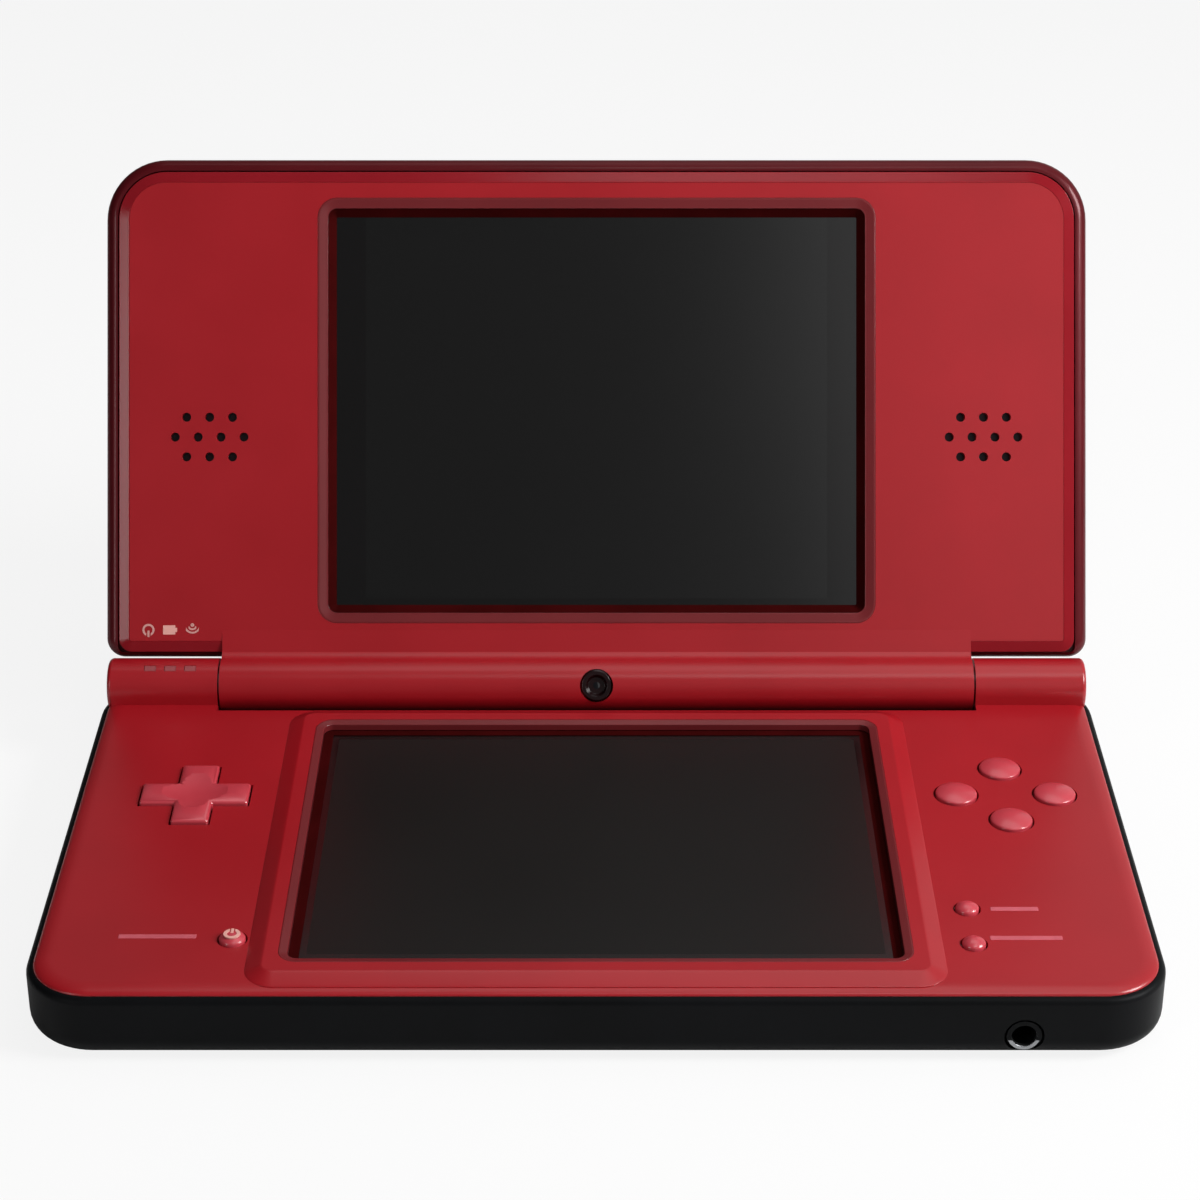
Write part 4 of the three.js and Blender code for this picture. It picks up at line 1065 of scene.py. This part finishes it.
    def outer_camera_parts(self) -> None:
        """Builds the camera window on the lid's back with its trim ring."""
        hole, slope, edge = self.outer_hole, self.trim_slope, self.trim_edge
        face, radius = self.top - self.play, self.outer_radius
        back = face - self.trim_depth
        ring = turned([(hole, back), (radius, back), (radius, face - edge), (radius - edge, face),
                       (hole + slope, face), (hole, face - slope), (hole, back)], (*self.outer_camera, 0.0))
        glass = disc(hole - TINY, back, face - slope, self.outer_camera)
        self.piece(ring, "outer_camera_trim", GLOSS_BLACK, ["outer_camera_window"])
        self.piece(glass, "outer_camera_glass", CAMERA_GLASS, ["outer_camera_window"], Softening(0.05, 2))

    def build(self) -> None:
        """Builds every piece of the lid."""
        self.cover()
        self.bezel()
        self.border_ring()
        self.edge_ring()
        self.screen()
        self.marks()
        self.inner_camera()
        self.outer_camera_parts()
        LOG.info("lid: cover, bezel, screen, cameras and signs")


# Base


@dataclass(frozen=True)
class Base:
    """The base: red top with the raised frame round the lower screen, and the black bottom case."""

    bench: Bench
    # Red top: its skirt, its gap to the black shoulder, and the raised frame
    skirt_run: float = 2.6
    skirt_height: float = 0.8
    skin_gap: float = 0.05
    plate_lap: float = 0.1
    frame_corner: float = 4.2
    frame_slope: tuple[tuple[float, float], ...] = (
        (0.0, 0.0), (0.1, 0.16), (0.8, 0.88), (0.92, 0.97), (1.0, 1.0))
    frame_top: float = 3.2
    frame_foot: float = 5.8
    lip: float = 1.3
    lip_land: float = 0.2
    lip_drop: float = 0.3
    lip_floor: float = -1.5
    # End knuckles, which stop 0.9 mm short of the solids' ends
    knuckle_edge: float = 0.7
    knuckle_end: float = 79.6
    # Black bottom case
    wall: float = 1.6
    shoulder: float = 1.0
    lower_edge: float = 3.2
    bosses: tuple[tuple[float, float], ...] = ((-71.0, -37.5), (71.0, -37.5), (-40.0, 32.1), (40.0, 32.1))
    feet: tuple[tuple[float, float], ...] = ((-58.0, -37.6), (58.0, -37.6), (-58.0, 37.0), (58.0, 37.0))
    # Openings of the bottom case. Battery cover: its outline and the depth of its seat
    battery_seat: Outline = Outline(-40.6, 22.6, -39.2, 1.9, 3.3, 3.3)
    seat_depth: float = 0.9
    # Game card slot: half width, front end and top
    card_slot: tuple[float, float, float] = (17.0, 40.0, -6.2)
    # Charging port: left end, right end, front end and half height
    charging: tuple[float, float, float, float] = (24.4, 33.6, 40.0, 2.4)
    # Headphone jack: x, radius and inner end
    jack: tuple[float, float, float] = (59.7, 2.8, -40.0)
    # Volume rocker: inner end, front end, back end and top
    rocker: tuple[float, float, float, float] = (-77.3, 5.7, 18.3, -4.55)
    # Memory card door: inner end, front end, back end and half height
    card_door: tuple[float, float, float, float] = (78.5, 6.7, 33.7, 2.2)
    # Stylus: radius, inner end, y and z
    stylus: tuple[float, float, float, float] = (2.5, 76.0, 3.9, -8.3)
    # Shoulder keys: inner end, front end, bottom and top
    shoulder_bay: tuple[float, float, float, float] = (61.9, 35.0, -10.7, -4.5)
    # Case screws and feet: radius and depth
    screw_well: tuple[float, float] = (2.2, 1.3)
    screw_facets: int = 32
    foot_well: tuple[float, float] = (3.9, 0.4)
    # Channel of the hinge barrel
    channel_front: float = 35.7
    shadow_gap_front: float = 34.4
    channel_top: float = -4.9
    # Touch panel
    recess: Outline = Outline(-43.5, 43.5, -37.7, 28.3, 1.5, 1.5)
    picture: Outline = Outline(-41.0, 41.0, -35.0, 25.6, 0.4, 0.4)
    panel_room: float = 1.5
    panel_face: float = -1.6
    panel_back: float = -2.7
    # Painted shadow on the touch panel's edge: how far in it reaches, and how far it sinks and stands out
    shadow_band: float = 1.5
    shadow_sink: float = 0.05
    shadow_rise: float = 0.08
    # Places of the keys: name, x, y and radius of the small ones
    pad: tuple[float, float] = (-61.8, 7.8)
    pad_span: float = 16.6
    pad_arm: float = 5.7
    face: tuple[float, float] = (63.1, 8.1)
    face_spread: float = 7.6
    face_radius: float = 3.2
    small: tuple[tuple[str, float, float, float], ...] = (
        ("start_button", 53.7, -23.9, 1.7), ("select_button", 53.7, -32.9, 1.7),
        ("power_button", -51.8, -31.7, 1.9))
    # Labels: name, left end, right end and y
    dash_width: float = 1.0
    dash_rise: float = 0.03
    labels: tuple[tuple[str, float, float, float], ...] = (
        ("start_dash", 57.1, 64.0, -23.9), ("select_dash", 56.2, 66.5, -31.4),
        ("power_dash", -68.1, -57.0, -31.0))
    # Lights: the first one's x, their pitch and their y, their half sizes and their lower ends
    lights: tuple[float, float, float] = (-72.6, 3.25, 38.9)
    light_half: tuple[float, float] = (0.9, 0.5)
    light_low: float = 3.3
    slot_low: float = 3.2
    slot_play: float = 0.05

    def piece(self, mesh: Mesh, name: str, finish: Finish, stands_for: Sequence[str] = (),
              softening: Softening = NO_SOFTENING) -> None:
        """Makes a piece that the base carries, sharp-edged unless it is told otherwise."""
        self.bench.piece(mesh, name, "base", finish, stands_for, softening)

    def outline(self) -> Outline:
        """Returns the base's outline from above."""
        return symmetric(LAYOUT.half_width, -LAYOUT.half_depth, LAYOUT.half_depth, LAYOUT.corner_radius)

    def knuckle(self, side: int) -> Mesh:
        """Builds one end knuckle with the foot that carries it.

        Args:
            side: −1 for the left one and 1 for the right one.

        Returns:
            The solid.
        """
        radius, edge = LAYOUT.barrel_radius, self.knuckle_edge
        inner, outer = LAYOUT.knuckle_x, self.knuckle_end
        curve = [(radius - inset, height) for inset, height in rounding(edge, edge, 5, outer)]
        profile = [(0.0, inner), (radius, inner), *curve, (0.0, outer)]
        barrel = turned([(r, side * h) for r, h in profile], (0.0, LAYOUT.hinge_y, 0.0), Axis.X, HINGE_FACETS)
        ends = sorted((side * inner, side * (outer - edge)))
        foot = box(*ends, LAYOUT.hinge_y - radius, LAYOUT.hinge_y + radius, LAYOUT.well_under, 0.0)
        foot = combined(foot, prism(self.outline(), LAYOUT.well_under, 0.0), Operation.KEEP)
        return join(barrel, foot)

    def cross(self, margin: float, low: float, high: float) -> Mesh:
        """Builds the direction pad's cross as an upright solid.

        Args:
            margin: How far it is let out.
            low: The height of its bottom.
            high: The height of its top.

        Returns:
            The solid.
        """
        long, short = self.pad_span / 2 + margin, self.pad_arm / 2 + margin
        x, y = self.pad
        across = box(x - long, x + long, y - short, y + short, low, high)
        along = box(x - short, x + short, y - long, y + long, low, high)
        return join(across, along)

    def face_places(self) -> dict[str, tuple[float, float]]:
        """Works out where the four face buttons stand.

        Returns:
            Their centres by name.
        """
        (x, y), spread = self.face, self.face_spread
        return {"face_button_right": (x + spread, y), "face_button_bottom": (x, y - spread),
                "face_button_top": (x, y + spread), "face_button_left": (x - spread, y)}

    def barrel_space(self, front: float) -> Mesh:
        """Builds the channel that the lid's barrel turns in, from its front wall backwards."""
        back, high = LAYOUT.half_depth + OVERRUN, LAYOUT.barrel_radius + OVERRUN
        return box(-LAYOUT.knuckle_x, LAYOUT.knuckle_x, front, back, self.channel_top, high)

    def light_blocks(self, play: float, low: float) -> list[Mesh]:
        """Builds the three lights of the left knuckle as blocks that reach out of it.

        Args:
            play: How far they are let out.
            low: Their lower end.

        Returns:
            One block for each light.
        """
        first, pitch, y = self.lights
        half_x, half_y = self.light_half[0] + play, self.light_half[1] + play
        high = LAYOUT.barrel_radius + OVERRUN
        return [box(x - half_x, x + half_x, y - half_y, y + half_y, low, high)
                for x in (first + i * pitch for i in range(3))]

    def top_tools(self) -> list[Mesh]:
        """Builds what the top is cut by: the screen's place, the key holes and the slots for the lights.

        Returns:
            The tools in the order of their cuts.
        """
        low, high = LAYOUT.well_under - OVERRUN, LAYOUT.base_top + OVERRUN
        holes = [(*place, self.face_radius) for place in self.face_places().values()]
        holes += [(x, y, radius) for _, x, y, radius in self.small]
        round_holes = [disc(r + LAYOUT.slide_gap, low, high, (x, y)) for x, y, r in holes]
        return [prism(self.recess, low, high), prism(self.recess.grown(self.lip), self.lip_floor, high),
                prism(self.recess.grown(self.panel_room), low, self.lip_floor),
                self.cross(LAYOUT.slide_gap, low, high), gathered(round_holes),
                gathered(self.light_blocks(self.slot_play, self.slot_low))]

    def top(self) -> None:
        """Builds the red top: rolled skirt, raised frame, wells and end knuckles."""
        inner = self.outline().grown(-self.shoulder - self.skin_gap)
        skin = loft(inner, rounding(self.skirt_run, self.skirt_height, 12, LAYOUT.well_top))
        plate_top = LAYOUT.seam + self.plate_lap
        plate = prism(self.outline(), LAYOUT.well_under, plate_top, self.wall + LAYOUT.slide_gap)
        run, rise = self.frame_foot - self.frame_top, LAYOUT.base_top - LAYOUT.well_top
        slope = [(run * part, LAYOUT.well_top + rise * height) for part, height in self.frame_slope]
        foot = replace(self.recess.grown(self.frame_foot), front_radius=self.frame_corner,
                       back_radius=self.frame_corner)
        mound = loft(foot, [(0.0, LAYOUT.well_under), *slope])
        shell = cut(join(skin, plate, mound), self.barrel_space(self.shadow_gap_front))
        shell = cut(join(shell, self.knuckle(-1), self.knuckle(1)), *self.top_tools())
        self.piece(shell, "base_top_satin", SATIN_RED, ["base_top_shell"], Softening(0.12, 3, 24.0))

    def lip_ring(self) -> None:
        """Builds the polished lip that slopes in to the touch screen, in a red painted darker than the top's:
        painted shade.
        """
        top, lip = LAYOUT.base_top, self.lip
        ring = prism(self.recess.grown(lip - TINY), self.lip_floor, top)
        rings = [(lip, top - self.lip_drop), (0.0, top + SAME_POINT)]
        slope = loft(self.recess.grown(lip - self.lip_land), rings)
        ring = cut(ring, slope, prism(self.recess, self.lip_floor - OVERRUN, top + OVERRUN))
        self.piece(ring, "lower_lip_polished_painted_shade", POLISHED_SHADED_RED, ["base_top_shell"], Softening(0.08, 3, 8.0))

    def case_tools(self) -> list[Mesh]:
        """Builds the openings of the bottom case: keys, doors, sockets, screws, feet and the battery.

        Returns:
            The tools in the order of their cuts.
        """
        z, side, back = LAYOUT.under_board, LAYOUT.half_width + OVERRUN, LAYOUT.half_depth + OVERRUN
        bottom = LAYOUT.base_bottom
        low = bottom - OVERRUN
        half, front, top = self.card_slot
        tools = [prism(self.battery_seat, low, bottom + self.seat_depth),
                 box(-half, half, front, back, LAYOUT.floor_top, top)]
        left, right, front, half = self.charging
        tools.append(box(left, right, front, back, z - half, z + half))
        x, radius, end = self.jack
        tools.append(bar(radius, -back, end, (x, z), Axis.Y))
        inner, front, rear, top = self.rocker
        tools.append(box(-side, inner, front, rear, z, top))
        inner, front, rear, half = self.card_door
        tools.append(box(inner, side, front, rear, z - half, z + half))
        radius, inner, y, height = self.stylus
        tools.append(bar(radius, inner, side, (y, height), Axis.X))
        inner, front, floor, top = self.shoulder_bay
        tools += [box(*sorted((way * inner, way * side)), front, back, floor, top) for way in (-1, 1)]
        radius, depth = self.screw_well
        tools += [disc(radius, low, bottom + depth, place, self.screw_facets) for place in self.bosses]
        radius, depth = self.foot_well
        return [*tools, *(disc(radius, low, bottom + depth, place) for place in self.feet)]

    def case(self) -> None:
        """Builds the black bottom case with its rolled lower edge."""
        rings = rounding_below(self.lower_edge, self.lower_edge, 10, LAYOUT.base_bottom)
        blank = loft(self.outline(), [*rings, *rounding(self.shoulder, self.shoulder, 6, LAYOUT.seam)])
        hollow = prism(self.outline(), LAYOUT.floor_top, 0.0, self.wall)
        shell = cut(blank, hollow, self.barrel_space(self.channel_front), *self.case_tools())
        self.piece(shell, "base_case_grained", CASE_BLACK, ["base_bottom_shell"], Softening(0.12, 2, 24.0))

    def screen(self) -> None:
        """Builds the touch panel and the painted shadow round it: a deep red-black band on the panel's edge.
        """
        face = self.panel_face
        self.bench.window(("touch_panel_edge", "touch_picture_area"), "base", "touch_panel", TOUCH_GREY,
                          (self.recess, self.picture), (face, self.panel_back))
        # Painted shadow: a deep red-black band where the frame's wall shades the panel's edge
        shade_lining = cut(prism(self.recess, face - self.shadow_sink, face + self.shadow_rise, self.shadow_sink),
                   prism(self.recess, face - OVERRUN, face + OVERRUN, self.shadow_band))
        self.piece(shade_lining, "touch_panel_painted_shadow", PAINTED_SHADE_RED, ["touch_panel"])

    def lamps(self) -> None:
        """Builds the three lights in the left knuckle, rounded like it."""
        for number, block in enumerate(self.light_blocks(0.0, self.light_low), 1):
            barrel = bar(LAYOUT.barrel_radius, -LAYOUT.half_width, -LAYOUT.knuckle_x, (LAYOUT.hinge_y, 0.0),
                         Axis.X, HINGE_FACETS)
            name = f"indicator_light_{number}"
            self.piece(combined(block, barrel, Operation.KEEP), f"{name}_lens", LIGHT_PIPE, [name],
                       Softening(0.05, 2))

    def jack_sleeve(self) -> None:
        """Builds the bright sleeve in the mouth of the headphone jack."""
        inner, outer, front, end = 1.75, 2.35, 0.15, 0.9
        sleeve = turned([(inner, front), (outer, front), (outer, end), (inner, end), (inner, front)],
                        (self.jack[0], -LAYOUT.half_depth, LAYOUT.under_board), Axis.Y)
        self.piece(sleeve, "headphone_jack_sleeve", PLATED_STEEL, (), Softening(0.12, 3))

    def channel_floor(self) -> None:
        """Builds the black floor of the hinge channel, so that nothing inside shows past the barrel."""
        thick, side_gap, front_gap, lap = 0.6, 0.6, 0.2, 0.05
        half, high = LAYOUT.knuckle_x - side_gap, self.channel_top - lap
        back = LAYOUT.half_depth - self.wall + lap
        plate = box(-half, half, self.channel_front + front_gap, back, high - thick, high)
        self.piece(plate, "hinge_channel_floor", CASE_BLACK, (), Softening())

    def print_labels(self) -> None:
        """Prints a plain dash, the generic label, beside each small button."""
        low, high, half = LAYOUT.well_top - TINY, LAYOUT.well_top + self.dash_rise, self.dash_width / 2
        for name, left, right, y in self.labels:
            self.piece(box(left, right, y - half, y + half, low, high), name, DIM_INK)

    def build(self) -> None:
        """Builds every piece of the base's two cases."""
        self.top()
        self.lip_ring()
        self.case()
        self.screen()
        self.lamps()
        self.jack_sleeve()
        self.channel_floor()
        self.print_labels()
        LOG.info("base: top, case, touch panel, lights and labels")


# Keys


@dataclass(frozen=True)
class Keys:
    """Every key that is pressed or tilted on the base, its card door and its stylus."""

    bench: Bench
    base: Base
    top: float = -0.3
    # Round keys: their flange, and the dome that starts a hair inside their wall
    flange: tuple[float, float] = (-3.3, -2.7)
    flange_lap: float = 0.7
    rise: float = 0.7
    dome_inset: float = 0.12
    dome_step: float = 0.1
    # Direction pad: crowned arms and a hollow
    crown_run: float = 2.1
    crown_rise: float = 0.8
    dish_radius: float = 22.0
    dish_depth: float = 0.6
    # Print on the power button: how deep it sits in the dome, and how far it stands out
    sign_sink: float = 0.2
    sign_rise: float = 0.01
    # Print on the rocker: its middle, the height it starts at, and the plus and the minus
    rocker_place: tuple[float, float] = (12.0, -6.35)
    rocker_face: float = -80.4
    print_depth: float = 0.1
    sign_reach: float = 4.0
    sign_size: float = 1.3
    sign_stroke: float = 0.26

    def button(self, name: str, x: float, y: float, radius: float) -> None:
        """Builds one round key with a domed cap on its flange.

        Args:
            name: The key's body and node.
            x: The x of its middle.
            y: The y of its middle.
            radius: The cap's radius.
        """
        ball, parts = (radius ** 2 + self.rise ** 2) / (2 * self.rise), 12
        reach = math.asin((radius - self.dome_inset) / ball)
        dome = [(ball * math.sin(a), self.top - ball * (1 - math.cos(a)))
                for a in (reach * i / parts for i in range(parts, 0, -1))]
        (low, high), wide = self.flange, radius + self.flange_lap
        profile = [(0.0, low), (wide, low), (wide, high), (radius, high),
                   (radius, self.top - self.rise - self.dome_step), *dome, (0.0, self.top)]
        self.bench.piece(turned(profile, (x, y, 0.0), steps=64), f"{name}_cap", name, KEY_HIGHLIGHT_RED, [name],
                         Softening(0.0, 2, 50.0))

    def pad(self) -> None:
        """Builds the direction pad's cross, with crowned arms and a dished middle."""
        x, y = self.base.pad
        cross = self.base.cross(0.0, LAYOUT.well_under - 0.1, self.top)
        # The cross is drawn steeper while its rim is rounded, so that the crown runs in further than down
        steep = self.crown_run / self.crown_rise
        bmesh.ops.scale(cross, vec=(1.0, 1.0, steep), verts=cross.verts)
        rim = [e for e in cross.edges if min(v.co.z for v in e.verts) > self.top * steep - TINY]
        bmesh.ops.bevel(cross, geom=rim, offset=self.crown_run, segments=8, profile=0.5, affect="EDGES",
                        material=-1)
        bmesh.ops.scale(cross, vec=(1.0, 1.0, 1 / steep), verts=cross.verts)
        ball = bmesh.new()
        bmesh.ops.create_uvsphere(ball, u_segments=192, v_segments=96, radius=self.dish_radius)
        bmesh.ops.translate(ball, vec=(x, y, self.top + self.dish_radius - self.dish_depth), verts=ball.verts)
        self.bench.piece(cut(cross, ball), "pad_cap_cross", "pad_cap", KEY_HIGHLIGHT_RED, ["pad_cap"],
                         Softening(0.3, 3, 50.0))

    def power_sign(self) -> None:
        """Prints the generic power sign on the power button, large and bright enough to be the button's
        painted highlight too.
        """
        _, x, y, _ = self.base.small[2]
        shape = PowerSign(radius=1.2, hole=0.7, opening=0.4, half_stroke=0.2, reach=1.25)
        sign = shape.draw(x, y, self.top - self.sign_sink, self.top + self.sign_rise)
        self.bench.piece(sign, "power_button_sign", "power_button", BRIGHT_INK_AND_HIGHLIGHT, (), NO_SOFTENING)

    def rocker_signs(self) -> None:
        """Prints a plus and a minus on the volume rocker."""
        y, z = self.rocker_place
        low, high = self.rocker_face - TINY, self.rocker_face + self.print_depth
        half, stroke = self.sign_size / 2, self.sign_stroke / 2
        ahead, behind = y + self.sign_reach, y - self.sign_reach
        plus = join(box(low, high, ahead - half, ahead + half, z - stroke, z + stroke),
                    box(low, high, ahead - stroke, ahead + stroke, z - half, z + half))
        minus = box(low, high, behind - half, behind + half, z - stroke, z + stroke)
        self.bench.piece(gathered([plus, minus]), "volume_signs", "volume_rocker", PALE_INK, (), NO_SOFTENING)

    def build(self) -> None:
        """Builds every key."""
        for name, (x, y) in self.base.face_places().items():
            self.button(name, x, y, self.base.face_radius)
        for small in self.base.small:
            self.button(*small)
        self.pad()
        self.power_sign()
        self.rocker_signs()
        for node, suffix, finish, softening in (
                ("shoulder_left", "key", GLOSS_BLACK, Softening(0.35, 3)),
                ("shoulder_right", "key", GLOSS_BLACK, Softening(0.35, 3)),
                ("volume_rocker", "key", GLOSS_BLACK, Softening(0.25, 3)),
                ("memory_card_door", "cover", CASE_BLACK, Softening(0.15, 2)),
                ("stylus", "pen", GLOSS_BLACK, Softening(0.12, 2))):
            self.bench.softened(node, suffix, node, finish, softening)
        LOG.info("keys: buttons, direction pad, shoulders, rocker, door and stylus")


# Hidden and small parts


def dress_nodes(bench: Bench) -> None:
    """Dresses every CAD node that no drawn piece stands for.

    Args:
        bench: The bench that holds the nodes.
    """
    bench.softened("battery_cover", "plate", "base", CASE_BLACK, Softening(0.2, 2))
    bench.softened("charging_port", "can", "base", PLATED_STEEL, Softening(0.08, 2))
    for place in ("front_left", "front_right", "back_left", "back_right"):
        bench.softened(f"foot_{place}", "pad", "base", FOOT_RUBBER, Softening(0.15, 2))
    plans = {
        CASE_BLACK: ("game_card_connector", "memory_card_connector", "headphone_jack"),
        PLATED_STEEL: ("hinge_clutch_left", "hinge_clutch_right", "cover_screw_left",
                       "cover_screw_right", "case_screw_front_left", "case_screw_front_right",
                       "case_screw_back_left", "case_screw_back_right"),
        MAT_RUBBER: ("pad_contact_mat", "face_contact_mat", "menu_contact_mat"),
        BATTERY_FILM: ("battery_pack",),
        MODULE_GREY: ("upper_display_module", "lower_display_module", "speaker_left", "speaker_right"),
        BOARD_GREEN: ("main_board",),
        CAMERA_GLASS: ("outer_camera_module",),
        KEY_HIGHLIGHT_RED: ("pad_flange",),
    }
    for finish, names in plans.items():
        for name in names:
            materials = bench.nodes[name].data.materials
            materials.clear()
            materials.append(finish.material())
    LOG.info("inner parts dressed")


# Studio


@dataclass(frozen=True)
class SoftPanel:
    """A soft light panel, in metres and watts, that faces the console."""

    name: str
    place: tuple[float, float, float]
    size: tuple[float, float]
    power: float

    def hang(self, target: Vector) -> None:
        """Hangs the panel in the room.

        Args:
            target: The point that it faces.
        """
        data = bpy.data.lights.new(self.name, "AREA")
        data.shape, data.energy = "RECTANGLE", self.power
        data.size, data.size_y = self.size
        light = bpy.data.objects.new(self.name, data)
        light.location = self.place
        light.rotation_mode = "QUATERNION"
        light.rotation_quaternion = (target - Vector(self.place)).to_track_quat("-Z", "Y")
        bpy.context.scene.collection.objects.link(light)


@dataclass(frozen=True)
class Studio:
    """The room: pale floor, soft panels and the photograph's camera."""

    hinge: Vector
    centre: Vector = field(default_factory=lambda: Vector((0.0, 0.0, 0.035)))
    paper: tuple[float, float, float, float] = (0.86, 0.86, 0.86, 1.0)
    paper_white: float = 0.86
    floor_half: float = 3.0
    # The world's light from side to side, from behind, and how much of that reaches each side:
    # the axis of the direction, where the ramp starts and ends on it, and its two strengths
    side_ramp: tuple[int, float, float, float, float] = (0, -0.5, 0.8, 0.04, 0.24)
    back_ramp: tuple[int, float, float, float, float] = (1, 0.1, 0.8, 0.0, 0.28)
    back_share: tuple[int, float, float, float, float] = (0, -0.35, 0.25, 0.0, 1.0)
    panels: tuple[SoftPanel, ...] = (
        SoftPanel("key_panel", (0.5, -0.16, 0.4), (0.22, 0.22), 3.9),
        SoftPanel("top_panel", (0.1, 0.15, 0.65), (0.5, 0.4), 0.55),
        SoftPanel("front_panel", (0.15, -0.26, 0.8), (0.4, 0.14), 0.48),
        SoftPanel("screen_panel", (0.22, -0.67, 0.42), (0.22, 0.5), 0.17),
        SoftPanel("left_strip", (-0.62, -0.66, 0.42), (0.1, 0.45), 1.1),
    )
    # The camera: from the hinge axis in millimetres, the way it looks, and its lens
    camera_place: tuple[float, float, float] = (0.57, -426.9, 236.8)
    camera_aim: tuple[float, float, float] = (0.0, 0.888, -0.460)
    sensor: float = 36.0
    lens: float = 89.4

    def white_for_camera(self, tree: Tree, shown: Socket) -> Socket:
        """Makes a colour plain white to camera rays alone.

        Args:
            tree: The world's node tree.
            shown: The colour that every other ray sees.

        Returns:
            The mixed colour's socket.
        """
        path = add_node(tree, "ShaderNodeLightPath")
        mix = add_node(tree, "ShaderNodeMix", {"data_type": "RGBA", 7: WHITE},
                       {0: path.outputs["Is Camera Ray"], 6: shown})
        return mix.outputs[2]

    def world(self) -> None:
        """Makes the room's light: paler on the right, darker on the left, with a sweep behind."""
        world = bpy.data.worlds.new("studio")
        bpy.context.scene.world = world
        world.use_nodes = True
        tree = world.node_tree
        tree.nodes.clear()
        where = add_node(tree, "ShaderNodeTexCoord")
        parts = add_node(tree, "ShaderNodeSeparateXYZ", None, {0: where.outputs["Generated"]})
        ramps = []
        for axis, start, end, low, high in (self.side_ramp, self.back_ramp, self.back_share):
            limits = {1: start, 2: end, 3: low, 4: high}
            ramp = add_node(tree, "ShaderNodeMapRange", limits, {0: parts.outputs[axis]})
            ramps.append(ramp.outputs[0])
        side, behind, share = ramps
        sweep = add_node(tree, "ShaderNodeMath", {"operation": "MULTIPLY"}, {0: behind, 1: share})
        light = add_node(tree, "ShaderNodeMath", {"operation": "ADD"}, {0: side, 1: sweep.outputs[0]})
        channels = {channel: light.outputs[0] for channel in range(3)}
        grey = add_node(tree, "ShaderNodeCombineColor", None, channels)
        background = add_node(tree, "ShaderNodeBackground", {"Strength": 1.0},
                              {"Color": self.white_for_camera(tree, grey.outputs[0])})
        add_node(tree, "ShaderNodeOutputWorld", None, {"Surface": background.outputs[0]})

    def floor(self) -> None:
        """Lays the pale floor that takes the console's shadow."""
        mesh = bmesh.new()
        bmesh.ops.create_grid(mesh, x_segments=1, y_segments=1, size=self.floor_half)
        floor = as_object(mesh, "floor")
        material = bpy.data.materials.new("pale_paper_floor")
        material.use_nodes = True
        tree = material.node_tree
        tree.nodes.clear()
        paper = add_node(tree, "ShaderNodeBsdfDiffuse", {"Color": self.paper})
        white = add_node(tree, "ShaderNodeEmission", {"Color": WHITE, "Strength": 1.0})
        path = add_node(tree, "ShaderNodeLightPath")
        share = add_node(tree, "ShaderNodeMath", {"operation": "MULTIPLY", 1: self.paper_white},
                         {0: path.outputs["Is Camera Ray"]})
        mix = add_node(tree, "ShaderNodeMixShader", None,
                       {0: share.outputs[0], 1: paper.outputs[0], 2: white.outputs[0]})
        add_node(tree, "ShaderNodeOutputMaterial", None, {"Surface": mix.outputs[0]})
        floor.data.materials.append(material)

    def camera(self) -> None:
        """Sets the camera where the photograph was taken from."""
        data = bpy.data.cameras.new("camera")
        data.sensor_width, data.lens = self.sensor, self.lens
        data.clip_start, data.clip_end = 0.01, 20.0
        camera = bpy.data.objects.new("camera", data)
        camera.location = self.hinge + Vector(self.camera_place) * MM
        camera.rotation_mode = "QUATERNION"
        camera.rotation_quaternion = Vector(self.camera_aim).to_track_quat("-Z", "Y")
        bpy.context.scene.collection.objects.link(camera)
        bpy.context.scene.camera = camera

    def build(self) -> None:
        """Builds the room."""
        self.world()
        for panel in self.panels:
            panel.hang(self.centre)
        self.floor()
        self.camera()
        LOG.info("studio ready")


def main() -> None:
    """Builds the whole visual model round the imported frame."""
    logging.basicConfig(level=logging.INFO)
    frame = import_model()
    hinge = next(joint for joint in frame["joints"] if joint["name"] == "lid_hinge")
    _, y, z = hinge["pos_m"]
    placement = Placement(Vector((0.0, y, z)), math.radians(hinge["range_deg"][1]))
    bench = Bench(placement, frame["nodes"])
    Lid(bench).build()
    base = Base(bench)
    base.build()
    Keys(bench, base).build()
    dress_nodes(bench)
    Studio(placement.hinge).build()
    bpy.context.scene.view_settings.view_transform = "Standard"


if __name__ == "__main__":
    main()
